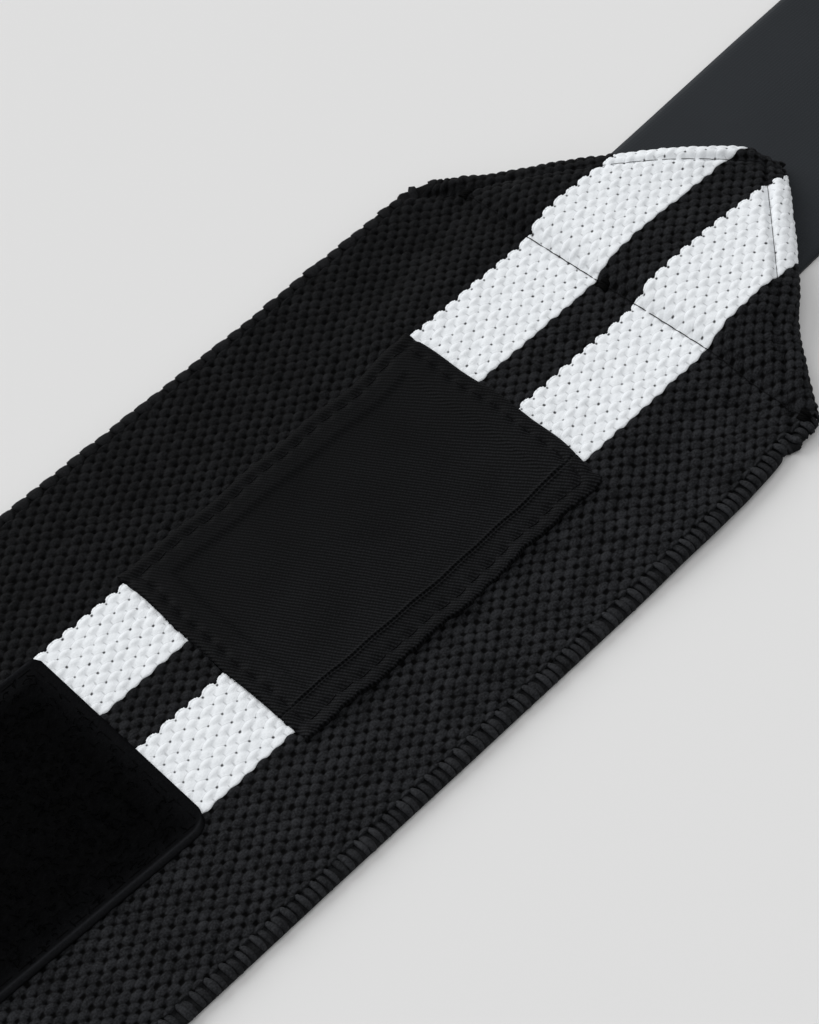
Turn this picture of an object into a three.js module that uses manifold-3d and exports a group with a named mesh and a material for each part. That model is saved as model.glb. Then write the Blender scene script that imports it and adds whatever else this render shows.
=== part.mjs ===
// A wrist strap laid flat, face up: a striped elastic band with a folded point, a hook tab, a loop patch
// and a woven label. Millimetres, +X along the band to the hook tab, +Y across it, +Z up, with the origin
// on the supporting surface under the middle of the strap.

import * as THREE from 'three';
import { mergeVertices } from 'three/addons/utils/BufferGeometryUtils.js';
import Module from 'manifold-3d';

// Whole strap
const OVERALL_LENGTH = 457; // far hem to the free end of the hook tab
const GAP = 0.3; // clearance between sewn layers

// Elastic band
const BAND_WIDTH = 77; // at the loop patch and the far hem
const SHOULDER_WIDTH = 75; // where the folded point begins
const BAND_WALL = 1.8;
const EDGE_ROUND = 0.7; // how far the rounded edges fall
const EDGE_ROUND_WIDTH = 1.4;
const STRIPE_WIDTH = 13.3;
const STRIPE_SPACING = 7.6; // black between the two white stripes
const STRIPE_SHIFT = -1.25; // the stripes and the tip of the point lie a little off the middle

// Folded point: both corners of the band are folded under at 45 degrees
const FLAP_WALL = 1.3; // the folded corners and the hem are pressed thinner than the band
const FLAP_BASE = 1.5; // from the shoulders to the start of the folded corners
const FLAP_SLIT = 0.6; // between the two folded corners
const FOLD_RADIUS = 2.2; // reach of a rolled fold
const FOLD_WALL = 1.8; // thickness of the cloth in a rolled fold
const FOLD_BLUNT = 0.1;
const TIP_RADIUS = 1.6;
const TIP_HEIGHT = 2.4;
const SEAM_LIFT = 0.45; // height that the band gains where it lies over the tab
const BULGE_HEIGHT = 3.1;
const BULGE_START = 3; // before the shoulders
const BULGE_RISE = 8; // length over which the bulge begins
const BULGE_POWERS = { rise: 0.62, fall: 1.2 }; // the bulge peaks nearer the shoulders than the tip
const POCKET_SETBACK = 9; // from the tip to the end of the space between the layers

// Far hem
const HEM_LENGTH = 12;
const HEM_RAMP = 4;

// Hook tab
const TAB_WIDTH = 36.5;
const TAB_WALL = 1.2;
const TAB_REACH = 88.9; // free length beyond the point
const TAB_COVERED = 61.1; // length hidden under the point and the band
const TAB_CORNER_RADIUS = 6;
const TAB_SHIFT = -0.5; // of the covered end
const TAB_TURN = THREE.MathUtils.degToRad(2.5); // the tab is sewn a little askew
const DRAPE_ALONG = 12; // length over which the band climbs onto the tab
const DRAPE_ACROSS = 10;

// Woven label and loop patch
const LABEL_LENGTH = 54.6;
const LABEL_WIDTH = 37.1;
const LABEL_SETBACK = 23.9; // from the shoulders
const LABEL_SHIFT = -2;
const LABEL_TURN = THREE.MathUtils.degToRad(-0.6);
const PATCH_LENGTH = 120;
const PATCH_WIDTH = 36.8;
const PATCH_GAP = 16.7; // between label and patch
const PATCH_SHIFT = -2.2;
const PATCH_TURN = THREE.MathUtils.degToRad(-2.75); // the patch is sewn a little askew

// Heights of the sewn pieces above their backs, by distance from the edge
const LABEL_PROFILE = [
  { inset: 0, height: 0.5 },
  { inset: 1, height: 0.9 },
  { inset: 4, height: 0.8 },
  { inset: 4.8, height: 0.5 },
  { inset: 5.6, height: 0.7 },
];
const PATCH_PROFILE = [
  { inset: 0, height: 0.7 },
  { inset: 2.5, height: 0.9 },
  { inset: 4.5, height: 2 },
];

// Colours as in daylight
const FINISH = {
  band: { color: 0xffffff, roughness: 0.9, metalness: 0, vertexColors: true },
  tab: { color: 0x2d3136, roughness: 0.7, metalness: 0 },
  patch: { color: 0x0b0c0e, roughness: 1, metalness: 0 },
  label: { color: 0x17181b, roughness: 0.65, metalness: 0 },
};
const WARP_BLACK = new THREE.Color(0x1d1e21);
const WARP_WHITE = new THREE.Color(0xeceef0);

// Places along the strap
const FAR_END = -OVERALL_LENGTH / 2;
const HEM_END = FAR_END + HEM_LENGTH;
const TAB_END = OVERALL_LENGTH / 2;
const TIP = TAB_END - TAB_REACH; // where the two slanting folds would meet
const SHOULDER = TIP - SHOULDER_WIDTH / 2;
const SKEW = (-2 * STRIPE_SHIFT) / SHOULDER_WIDTH; // of the line across the shoulders
const BULGE_FROM = SHOULDER - BULGE_START;
const FLAP_START = SHOULDER + FLAP_BASE;
const POCKET_END = TIP - POCKET_SETBACK;
const TAB_START = TIP - TAB_COVERED;
const LABEL_MIDDLE = SHOULDER - LABEL_SETBACK - LABEL_LENGTH / 2;
const PATCH_END = LABEL_MIDDLE - LABEL_LENGTH / 2 - PATCH_GAP;
const TAPER_START = PATCH_END; // from here the band narrows to the shoulders
const CELL = STRIPE_SPACING / 4; // mesh of the grid over the point, whose diagonals follow the folds
const MARGIN = 1; // how far a sheet reaches past the outline that trims it
const TRIM_HEIGHT = 20;

const wasm = await Module();
wasm.setup();

const { clamp, lerp, smoothstep: ramp } = THREE.MathUtils; // ramp(value, from, to) climbs from 0 to 1

// Half the width of the straight part of the band at a place along it.
function halfWidth(x) {
  const taper = clamp((x - TAPER_START) / (SHOULDER - TAPER_START), 0, 1);
  return lerp(BAND_WIDTH, SHOULDER_WIDTH, taper) / 2;
}

// Distance inside the nearest folded edge: a slanting side of the point, or the far hem.
function foldDistance(x, y) {
  const slanting = (TIP - x - Math.abs(y - STRIPE_SHIFT)) / Math.SQRT2;
  return Math.max(0, Math.min(slanting, x - FAR_END));
}

// Height at which the lowest layer of the band lies: on the surface, or draped over the tab.
function lift(x, y) {
  const along = ramp(x, TAB_START - DRAPE_ALONG, TAB_START - GAP);
  const middle = TAB_SHIFT + Math.tan(TAB_TURN) * (x - TAB_START);
  const edge = TAB_WIDTH / 2 + GAP;
  return (TAB_WALL + GAP) * along * (1 - ramp(Math.abs(y - middle), edge, edge + DRAPE_ACROSS));
}

// Bulge of the point, from 0 at its start to 1 at its highest and back to 0 at the tip.
function bulge(share) {
  const { rise, fall } = BULGE_POWERS;
  const peak = rise / (rise + fall);
  return (share / peak) ** rise * ((1 - share) / (1 - peak)) ** fall;
}

// Height of the band's face above its lowest layer.
function stack(x, y) {
  const along = x + SKEW * y - BULGE_FROM;
  const share = clamp(along / (TIP - BULGE_FROM), 0, 1);
  const plain = BAND_WALL + SEAM_LIFT * ramp(x, TAB_START - DRAPE_ALONG, TAB_START);
  const hem = (FLAP_WALL + GAP) * (1 - ramp(x, HEM_END + GAP, HEM_END + HEM_RAMP));
  const raised = BULGE_HEIGHT * bulge(share) * ramp(along, 0, BULGE_RISE);
  return lerp(plain, TIP_HEIGHT, share) + raised + hem;
}

// How much of its full height a rolled fold has, by distance inside it.
function roll(distance) {
  const share = Math.min(1, (distance + FOLD_BLUNT) / FOLD_RADIUS);
  return Math.sqrt(1 - (1 - share) ** 2);
}

// Height of the band's face, rounded down towards its long edges and its folds.
function face(x, y) {
  const side = Math.max(0, halfWidth(x) - Math.abs(y));
  const edge = EDGE_ROUND * (1 - ramp(side, 0, EDGE_ROUND_WIDTH));
  return lift(x, y) + (stack(x, y) * (1 + roll(foldDistance(x, y)))) / 2 - edge;
}

// Height of the band's back, rounded up towards its folds.
function back(x, y) {
  return lift(x, y) + (stack(x, y) * (1 - roll(foldDistance(x, y)))) / 2;
}

// Heights of the space between the layers of the point and of the hem.
const flapTop = (x, y) => lift(x, y) + FLAP_WALL;
const underside = (x, y) => lift(x, y) + stack(x, y) - BAND_WALL;

// Stations from a start through rows of { to, step }, each stretch cut into equal steps.
function stations(start, rows) {
  const list = [start];
  for (const { to, step } of rows) {
    const from = list.at(-1);
    const count = Math.max(1, Math.round((to - from) / step));
    for (let i = 1; i <= count; i += 1) list.push(from + ((to - from) * i) / count);
  }
  return list;
}

// A closed sheet over a grid of stations, between two height functions.
function sheet(xs, ys, bottom, top) {
  const columns = xs.length - 1;
  const rows = ys.length - 1;
  const geometry = new THREE.BoxGeometry(columns, rows, 1, columns, rows, 1);
  const position = geometry.attributes.position;
  for (let i = 0; i < position.count; i += 1) {
    const x = xs[Math.round(position.getX(i) + columns / 2)];
    const y = ys[Math.round(position.getY(i) + rows / 2)];
    const height = position.getZ(i) < 0 ? bottom : top;
    position.setXYZ(i, x, y, height(x, y));
  }
  return geometry;
}

// An outline made into a tall block, to trim sheets with.
function trimBlock(shape) {
  const settings = { depth: TRIM_HEIGHT, bevelEnabled: false, curveSegments: 4 };
  return new THREE.ExtrudeGeometry(shape, settings).translate(0, 0, -TRIM_HEIGHT / 2);
}

function toSolid(geometry) {
  const bare = new THREE.BufferGeometry().setAttribute('position', geometry.attributes.position);
  bare.setIndex(geometry.index);
  const merged = mergeVertices(bare, 1e-4);
  const vertProperties = new Float32Array(merged.attributes.position.array);
  const triVerts = new Uint32Array(merged.index.array);
  return new wasm.Manifold(new wasm.Mesh({ numProp: 3, vertProperties, triVerts }));
}

function toGeometry(solid) {
  const { vertProperties, triVerts } = solid.getMesh();
  const geometry = new THREE.BufferGeometry();
  geometry.setAttribute('position', new THREE.BufferAttribute(vertProperties, 3));
  geometry.setIndex(new THREE.BufferAttribute(triVerts, 1));
  return geometry;
}

// A place on the line beside a slanting fold, on the side given as 1 or -1, where that line meets the one
// that crosses the middle of the band at a place along it and runs like the line across the shoulders.
function besideFold(side, along, inset) {
  const reach = TIP + side * STRIPE_SHIFT - inset * Math.SQRT2;
  const y = (reach - along) / (side - SKEW);
  return new THREE.Vector2(along - SKEW * y, y);
}

// The band's outline from above: straight sides that narrow to the shoulders, and a blunt point.
function bandOutline() {
  const right = besideFold(-1, SHOULDER, 0);
  const left = besideFold(1, SHOULDER, 0);
  const shape = new THREE.Shape();
  shape.moveTo(FAR_END, -BAND_WIDTH / 2);
  shape.lineTo(TAPER_START, -BAND_WIDTH / 2);
  shape.lineTo(right.x, right.y);
  shape.absarc(TIP - TIP_RADIUS * Math.SQRT2, STRIPE_SHIFT, TIP_RADIUS, -Math.PI / 4, Math.PI / 4, false);
  shape.lineTo(left.x, left.y);
  shape.lineTo(TAPER_START, BAND_WIDTH / 2);
  shape.lineTo(FAR_END, BAND_WIDTH / 2);
  shape.closePath();
  return shape;
}

// A stretch of the point between two places along it, as far as the cloth of the rolled folds.
function pocketOutline(from, to) {
  return new THREE.Shape([
    besideFold(-1, from, FOLD_WALL),
    besideFold(-1, to, FOLD_WALL),
    besideFold(1, to, FOLD_WALL),
    besideFold(1, from, FOLD_WALL),
  ]);
}

// The space inside the point: over the folded corners, under the band where it climbs onto them, and
// between the two corners.
function pointHollows() {
  const half = SHOULDER_WIDTH / 2;
  const xs = stations(BULGE_FROM - 2 * MARGIN, [{ to: TIP, step: 2 * CELL }]);
  const ys = stations(-half, [{ to: half, step: 2 * CELL }]);
  const over = toSolid(sheet(xs, ys, flapTop, underside));
  const under = toSolid(sheet(xs, ys, () => -MARGIN, underside));
  const ramped = new THREE.Shape([
    new THREE.Vector2(BULGE_FROM, FOLD_WALL - half),
    besideFold(-1, FLAP_START, FOLD_WALL),
    besideFold(1, FLAP_START, FOLD_WALL),
    new THREE.Vector2(BULGE_FROM, half - FOLD_WALL),
  ]);
  const slitTop = TAB_WALL + GAP + FLAP_WALL + GAP / 2;
  const slit = new THREE.BoxGeometry(POCKET_END - FLAP_START, FLAP_SLIT, slitTop + MARGIN);
  slit.translate((POCKET_END + FLAP_START) / 2 - MARGIN, STRIPE_SHIFT, (slitTop - MARGIN) / 2);
  return [
    over.intersect(toSolid(trimBlock(pocketOutline(FLAP_START - GAP, POCKET_END)))),
    under.intersect(toSolid(trimBlock(ramped))),
    toSolid(slit),
  ];
}

// The space between the layers of the hem, and under the band where it climbs onto the hem.
function hemHollows() {
  const ys = [-BAND_WIDTH / 2 - MARGIN, BAND_WIDTH / 2 + MARGIN];
  const ramped = stations(HEM_END - GAP, [{ to: HEM_END + HEM_RAMP, step: 1.1 }]);
  return [
    toSolid(sheet([FAR_END + FOLD_WALL, HEM_END], ys, flapTop, underside)),
    toSolid(sheet(ramped, ys, () => -MARGIN, underside)),
  ];
}

// Black everywhere but in the two stripes on the face and back of the band.
function paintStripes(geometry) {
  const painted = geometry.toNonIndexed();
  const corners = painted.attributes.position;
  const colors = new Float32Array(corners.count * 3);
  for (let i = 0; i < corners.count; i += 3) {
    const middle = (corners.getY(i) + corners.getY(i + 1) + corners.getY(i + 2)) / 3;
    const across = Math.abs(middle - STRIPE_SHIFT) - STRIPE_SPACING / 2;
    const warp = across > 0 && across < STRIPE_WIDTH ? WARP_WHITE : WARP_BLACK;
    for (let corner = i; corner < i + 3; corner += 1) warp.toArray(colors, corner * 3);
  }
  return painted.setAttribute('color', new THREE.BufferAttribute(colors, 3));
}

function elasticBand() {
  const columns = Math.round((TIP - BULGE_FROM) / CELL);
  const start = TIP + FOLD_BLUNT * 4 - columns * CELL;
  const xs = stations(FAR_END - MARGIN, [
    { to: FAR_END + FOLD_RADIUS, step: 0.8 },
    { to: HEM_END + GAP, step: 10 },
    { to: HEM_END + HEM_RAMP, step: 1.3 },
    { to: TAPER_START, step: 240 },
    { to: TAB_START - DRAPE_ALONG, step: 60 },
    { to: TAB_START, step: 2.4 },
    { to: start, step: 10 },
    { to: start + (columns + 1) * CELL, step: CELL },
  ]);
  const inner = STRIPE_SPACING / 2;
  const outer = inner + STRIPE_WIDTH;
  const rim = outer + 9 * CELL;
  const ys = stations(-BAND_WIDTH / 2 - MARGIN, [
    { to: STRIPE_SHIFT - rim, step: 1 },
    { to: STRIPE_SHIFT + rim, step: CELL },
    { to: BAND_WIDTH / 2 + MARGIN, step: 1 },
  ]);
  const cloth = toSolid(sheet(xs, ys, back, face)).intersect(toSolid(trimBlock(bandOutline())));
  const band = [...pointHollows(), ...hemHollows()].reduce((solid, hollow) => solid.subtract(hollow), cloth);
  return paintStripes(toGeometry(band));
}

// A length of tape lying on the surface, measured from its covered end, with rounded corners at its free
// end, one of which ends the strap.
function hookTab() {
  const half = TAB_WIDTH / 2;
  const corner = TAB_CORNER_RADIUS;
  const ahead = TAB_END - TAB_START - corner - (half - corner) * Math.sin(TAB_TURN);
  const turn = ahead / Math.cos(TAB_TURN);
  const shape = new THREE.Shape();
  shape.moveTo(0, -half);
  shape.lineTo(turn, -half);
  shape.absarc(turn, corner - half, corner, -Math.PI / 2, 0, false);
  shape.absarc(turn, half - corner, corner, 0, Math.PI / 2, false);
  shape.lineTo(0, half);
  shape.closePath();
  return new THREE.ExtrudeGeometry(shape, { depth: TAB_WALL, bevelEnabled: false, curveSegments: 6 });
}

// Height of a sewn rectangle's face above its back, read from a profile by distance from the edge.
function profileHeight(profile, distance) {
  const next = profile.findIndex(({ inset }) => inset >= distance);
  if (next < 0) return profile.at(-1).height;
  if (next === 0) return profile[0].height;
  const low = profile[next - 1];
  const high = profile[next];
  const share = (distance - low.inset) / (high.inset - low.inset);
  return THREE.MathUtils.lerp(low.height, high.height, share);
}

// Stations at every inset of a profile from both ends of a length.
function profileStations(profile, from, to, step) {
  const insets = profile.map(({ inset }) => inset);
  const list = insets.map((inset) => from + inset);
  const middle = stations(list.at(-1), [{ to: to - insets.at(-1), step }]).slice(1, -1);
  return [...list, ...middle, ...insets.reverse().map((inset) => to - inset)];
}

// A rectangle of tape or label with a shaped border, lying on a base height.
function sewnRectangle(profile, [x0, x1], [y0, y1], step, base) {
  const height = (x, y) => profileHeight(profile, Math.min(x - x0, x1 - x, y - y0, y1 - y));
  const xs = profileStations(profile, x0, x1, step);
  const ys = profileStations(profile, y0, y1, step);
  return sheet(xs, ys, base, (x, y) => base(x, y) + height(x, y));
}

// The label lies on the band, which climbs under it, so its back follows the band's face.
function wovenLabel() {
  const onBand = (x, y) => {
    const spot = new THREE.Vector2(x, y).rotateAround(new THREE.Vector2(), LABEL_TURN);
    return face(LABEL_MIDDLE + spot.x, LABEL_SHIFT + spot.y) + GAP;
  };
  const along = [-LABEL_LENGTH / 2, LABEL_LENGTH / 2];
  const across = [-LABEL_WIDTH / 2, LABEL_WIDTH / 2];
  return sewnRectangle(LABEL_PROFILE, along, across, 9, onBand);
}

function loopPatch() {
  const across = [-PATCH_WIDTH / 2, PATCH_WIDTH / 2];
  return sewnRectangle(PATCH_PROFILE, [-PATCH_LENGTH, 0], across, PATCH_LENGTH, () => 0);
}

function piece(name, geometry, finish, [x, y, z] = [0, 0, 0], turn = 0) {
  const mesh = new THREE.Mesh(geometry, new THREE.MeshStandardMaterial(finish));
  mesh.name = name;
  mesh.position.set(x, y, z);
  mesh.rotation.z = turn;
  return mesh;
}

const strap = new THREE.Group();
strap.add(
  piece('elastic_band', elasticBand(), FINISH.band),
  piece('hook_tab', hookTab(), FINISH.tab, [TAB_START, TAB_SHIFT, 0], TAB_TURN),
  piece('woven_label', wovenLabel(), FINISH.label, [LABEL_MIDDLE, LABEL_SHIFT, 0], LABEL_TURN),
  piece('loop_patch', loopPatch(), FINISH.patch, [PATCH_END, PATCH_SHIFT, BAND_WALL + GAP], PATCH_TURN),
);

export default strap;
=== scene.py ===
"""Dresses a wrist strap that lies flat: woven band, hook tab, loop patch, label, stitching and studio.

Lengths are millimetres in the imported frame's axes, and become metres when a mesh is made.
"""

import logging
import math
from dataclasses import dataclass, field
from enum import Enum
from typing import Any, Callable, Sequence

import bpy
import numpy as np
from mathutils import Matrix, Vector


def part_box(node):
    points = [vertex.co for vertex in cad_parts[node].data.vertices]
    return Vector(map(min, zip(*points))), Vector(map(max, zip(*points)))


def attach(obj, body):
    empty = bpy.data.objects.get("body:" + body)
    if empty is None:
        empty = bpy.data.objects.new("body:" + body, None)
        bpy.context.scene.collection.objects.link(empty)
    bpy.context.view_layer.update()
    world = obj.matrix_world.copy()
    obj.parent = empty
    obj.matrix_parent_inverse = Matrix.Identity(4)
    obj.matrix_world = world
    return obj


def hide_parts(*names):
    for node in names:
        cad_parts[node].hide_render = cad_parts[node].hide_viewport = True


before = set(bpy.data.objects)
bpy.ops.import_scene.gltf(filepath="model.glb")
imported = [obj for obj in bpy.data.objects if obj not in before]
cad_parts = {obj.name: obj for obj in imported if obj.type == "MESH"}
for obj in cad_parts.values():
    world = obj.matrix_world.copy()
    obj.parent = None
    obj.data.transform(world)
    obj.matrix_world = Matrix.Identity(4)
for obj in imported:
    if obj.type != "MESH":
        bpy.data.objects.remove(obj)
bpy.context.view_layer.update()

BODY = "root"
MM = 0.001
IMAGE_HEIGHT_PX = 1024
BAKE_MAP = "OFBake"
HIDDEN_SPOT = 0.999
FACE_LANE = (0.02, 0.80)
BACK_LANE = (0.82, 0.94)
WALL_LANES = ((0.95, 0.97), (0.975, 0.995))
CORE_LANE = (0.05, 0.95)
CELL_MARGIN = 0.05
KNOT_TOP = {"turn": 0.5, "end": 1.5}
SIDEWAYS = (0.0, 1.0, 0.0)
UPRIGHT = (0.0, 0.0, 1.0)
ROOT_TWO = math.sqrt(2.0)

Array = np.ndarray
Colour = tuple[float, float, float]
Point = tuple[float, float, float]
log = logging.getLogger("wrist_strap")


class Side(Enum):
    """A long side of the band: left is +Y, seen along +X."""

    LEFT = 1
    RIGHT = -1


class Warp(Enum):
    """Colour of a group of warp ends, named by the record's material slot."""

    BLACK = "elastic_black"
    WHITE = "elastic_white"


class Border(Enum):
    """How a group of warp ends gives way to the next one on its left."""

    WAVE = "wave"
    SCALLOP = "scallop"


def ramp(value: Array | float, low: float, high: float) -> Array:
    """Climbs smoothly from 0 at low to 1 at high.

    Args:
        value: Where to read the ramp.
        low: Where it starts.
        high: Where it ends.
    Returns:
        Shares from 0 to 1.
    """
    share = np.clip((np.asarray(value, float) - low) / (high - low), 0.0, 1.0)
    return share * share * (3.0 - 2.0 * share)


def bell(distance: Array | float, width: float) -> Array:
    """A bump of height 1 that fades over width."""
    return np.exp(-np.square(np.asarray(distance, float) / width))


def waves(value: Array, lengths: Sequence[float], seed: int) -> Array:
    """A smooth uneven line made of a few sine waves.

    Args:
        value: Places along the line.
        lengths: Wave lengths, longest first.
        seed: Sets the phases.
    Returns:
        Offsets of about -1 to 1.
    """
    phases = np.random.default_rng(seed).uniform(0.0, math.tau, len(lengths))
    parts = [np.sin(math.tau * value / length + phase) for length, phase in zip(lengths, phases)]
    return np.sum(parts, axis=0) / math.sqrt(len(lengths))


def millimetres(node: str) -> tuple[Array, Array]:
    """Lowest and highest corner of a CAD node in millimetres."""
    low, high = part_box(node)
    return np.array(low) / MM, np.array(high) / MM


# Meshes


class MeshDraft:
    """Vertices, faces, a bake map and point values, gathered before a mesh is made."""

    def __init__(self) -> None:
        """Starts empty."""
        self.points: list[Array] = []
        self.faces: list[Array] = []
        self.corner_maps: list[Array] = []
        self.values: dict[str, list[Array]] = {}
        self.count = 0

    def add_points(self, points: Array, **values: Array) -> int:
        """Adds vertices.

        Args:
            points: Places, one row each.
            values: Point values by name, one for each vertex.
        Returns:
            The index of the first new vertex.
        """
        first = self.count
        self.points.append(points.reshape(-1, 3))
        self.count += len(self.points[-1])
        for name, value in values.items():
            self.values.setdefault(name, []).append(np.asarray(value, float).ravel())
        return first

    def add_faces(self, faces: Array, corner_map: Array | None = None) -> None:
        """Adds faces with the same number of corners.

        Args:
            faces: Vertex indices, one row for each face.
            corner_map: Map places of the corners, shaped like faces with a pair for each corner.
        """
        faces = np.asarray(faces, int)
        if corner_map is None:
            corner_map = np.full((*faces.shape, 2), HIDDEN_SPOT)
        self.faces.append(faces)
        self.corner_maps.append(np.asarray(corner_map, float))

    def to_object(self, name: str, material: bpy.types.Material) -> bpy.types.Object:
        """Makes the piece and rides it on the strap's body.

        Args:
            name: The piece's name.
            material: Its material.
        Returns:
            The new object.
        """
        mesh = bpy.data.meshes.new(name)
        points = np.concatenate(self.points) * MM
        points[:, 2] = np.maximum(points[:, 2], 0.0)
        faces = [tuple(face) for block in self.faces for face in block.tolist()]
        mesh.from_pydata(points.tolist(), [], faces)
        corners = np.concatenate([block.reshape(-1, 2) for block in self.corner_maps])
        mesh.uv_layers.new(name=BAKE_MAP).uv.foreach_set("vector", corners.astype(np.float32).ravel())
        for label, blocks in self.values.items():
            attribute = mesh.attributes.new(label, "FLOAT", "POINT")
            attribute.data.foreach_set("value", np.concatenate(blocks).astype(np.float32))
        mesh.shade_smooth()
        mesh.validate()
        mesh.materials.append(material)
        piece = bpy.data.objects.new(name, mesh)
        bpy.context.scene.collection.objects.link(piece)
        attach(piece, BODY)
        log.info("%s: %d faces", name, len(mesh.polygons))
        return piece


def grid_faces(first: int, rows: int, columns: int) -> Array:
    """Quads of a grid of vertices stored row by row.

    Args:
        first: Index of its first vertex.
        rows: Vertices along it.
        columns: Vertices across it.
    Returns:
        Four vertex indices for each quad, row by row.
    """
    start = first + np.arange((rows - 1) * columns).reshape(rows - 1, columns)[:, :-1]
    return np.stack([start, start + columns, start + columns + 1, start + 1], -1).reshape(-1, 4)


@dataclass(frozen=True)
class StripMap:
    """A bake map for a long strip, folded into lanes so that both directions get a like share."""

    rows: int
    columns: int
    lanes: int
    margin: float = 0.01

    def corners(self, low: float, high: float, columns: int | None = None) -> Array:
        """Map places of a grid's quads, in a share of each lane.

        Args:
            low: Where in a lane the grid starts, from 0 to 1.
            high: Where it ends.
            columns: Vertices across the grid, where they differ from the strip's own.
        Returns:
            Four map places for each quad, in the order of grid_faces.
        """
        across = columns or self.columns
        per_lane = math.ceil((self.rows - 1) / self.lanes)
        row, column = np.divmod(np.arange((self.rows - 1) * (across - 1)), across - 1)
        lane = row // per_lane
        places = []
        for down, right in ((0, 0), (1, 0), (1, 1), (0, 1)):
            along = (row + down - lane * per_lane) / per_lane
            over = low + (high - low) * (column + right) / (across - 1)
            spot = [self.margin + (1 - 2 * self.margin) * along, (lane + over) / self.lanes]
            places.append(np.stack(spot, -1))
        return np.stack(places, 1)


def every(step: int, count: int) -> Array:
    """Every so many columns of a grid, with its last one."""
    return np.unique(np.append(np.arange(0, count, step), count - 1))


def closed_sheet(draft: MeshDraft, outer: Array, inner: Array, picks: Array, **values: Array) -> None:
    """Adds a closed sheet with a fine outer face and a coarser inner one.

    Args:
        draft: Takes the sheet.
        outer: Places of the outer face, rows by columns.
        inner: Places of the inner face, with a column for each of picks.
        picks: Columns of the outer face that the inner one follows, first and last among them.
        values: Point values of the outer face.
    """
    rows, columns = outer.shape[:2]
    length = np.linalg.norm(np.diff(outer[:, 0], axis=0), axis=1).sum()
    width = np.linalg.norm(np.diff(outer[0], axis=0), axis=1).sum()
    strip = StripMap(rows, columns, max(1, round(math.sqrt(length / width))))
    inner_values = {name: value[:, picks] for name, value in values.items()}
    face = draft.add_points(outer, **values)
    back = draft.add_points(inner, **inner_values)
    draft.add_faces(grid_faces(face, rows, columns), strip.corners(*FACE_LANE))
    flipped = strip.corners(*BACK_LANE, len(picks))[:, ::-1]
    draft.add_faces(grid_faces(back, rows, len(picks))[:, ::-1], flipped)
    lines = face + np.arange(rows)[:, None] * columns + np.array([0, columns - 1])
    hidden = back + np.arange(rows)[:, None] * len(picks) + np.array([0, len(picks) - 1])
    for side, lane in enumerate(WALL_LANES):
        pairs = np.stack([lines[:, side], hidden[:, side]], -1)
        if side:
            pairs = pairs[:, ::-1]
        walls = np.stack([pairs[:-1, 0], pairs[:-1, 1], pairs[1:, 1], pairs[1:, 0]], -1)
        draft.add_faces(walls, strip.corners(*lane, 2)[:, [0, 3, 2, 1]])
    for row, flip in ((0, False), (rows - 1, True)):
        rim = np.concatenate([
            face + row * columns + np.arange(columns),
            back + row * len(picks) + np.arange(len(picks))[::-1],
        ])
        draft.add_faces(rim[None, ::-1] if flip else rim[None])


def tubes(
    draft: MeshDraft, lines: Array, radii: Array | float, up: Array | Point, sides: int, flat: float = 1.0,
    **values: Array | float,
) -> None:
    """Adds many tubes along lines with the same number of points.

    Args:
        draft: Takes the tubes.
        lines: Places, tube by point.
        radii: Radius of all, at each point, or at each point of each tube.
        up: Direction that a tube's section stands in, one or one for each tube.
        sides: Sides of a section.
        flat: Height of a section as a share of its width.
        values: Point values by name, one or one for each tube.
    """
    count, rings = lines.shape[:2]
    ahead = np.gradient(lines, axis=1)
    ahead /= np.linalg.norm(ahead, axis=2, keepdims=True)
    upright = np.broadcast_to(np.asarray(up, float).reshape(-1, 1, 3), lines.shape)
    across = np.cross(upright, ahead)
    across /= np.linalg.norm(across, axis=2, keepdims=True)
    rise = np.cross(ahead, across)
    turn = math.tau * (np.arange(sides) + 0.5) / sides
    radii = np.broadcast_to(radii, (count, rings))[..., None, None]
    ring = np.cos(turn)[:, None] * across[:, :, None] + flat * np.sin(turn)[:, None] * rise[:, :, None]
    places = lines[:, :, None] + radii * ring
    spread = {name: np.broadcast_to(np.reshape(value, (-1, 1)), (count, rings * sides))
              for name, value in values.items()}
    first = draft.add_points(places, **spread)
    starts = first + np.arange(count)[:, None, None] * rings * sides
    spot = starts + np.arange(rings - 1)[:, None] * sides + np.arange(sides)
    beside = starts + np.arange(rings - 1)[:, None] * sides + (np.arange(sides) + 1) % sides
    quads = np.stack([spot, beside, beside + sides, spot + sides], -1).reshape(-1, 4)
    tube, ring_at, side_at = np.unravel_index(np.arange(len(quads)), (count, rings - 1, sides))
    lanes = math.ceil(math.sqrt(count))
    cell = np.stack([tube % lanes, tube // lanes], -1) / lanes
    steps = np.array([[0, 0], [0, 1], [1, 1], [1, 0]])
    shares = np.stack([ring_at, side_at], -1)[:, None] + steps
    inside = CELL_MARGIN + (1.0 - 2.0 * CELL_MARGIN) * shares / [rings - 1, sides]
    corner_map = cell[:, None] + inside / lanes
    draft.add_faces(quads, corner_map)
    ends = starts.reshape(-1, 1) + np.arange(sides)
    draft.add_faces(ends[:, ::-1])
    draft.add_faces(ends + (rings - 1) * sides)


def stand_for(pieces: list[bpy.types.Object], node: str) -> list[bpy.types.Object]:
    """Lets pieces stand for a CAD node together.

    Args:
        pieces: The pieces.
        node: The node's name.
    Returns:
        The same pieces.
    """
    for piece in pieces:
        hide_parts(node)
    return pieces


def turned(origin: tuple[float, float], angle: float, a: Array, b: Array, z: Array) -> Array:
    """Places from coordinates along and across a turned tape.

    Args:
        origin: Where both coordinates are 0.
        angle: Turn of the tape from +X.
        a: Along the tape.
        b: Across the tape.
        z: Height.
    Returns:
        Places in the last axis.
    """
    cos, sin = math.cos(angle), math.sin(angle)
    return np.stack([origin[0] + a * cos - b * sin, origin[1] + a * sin + b * cos, z], -1)


# Node trees


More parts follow.
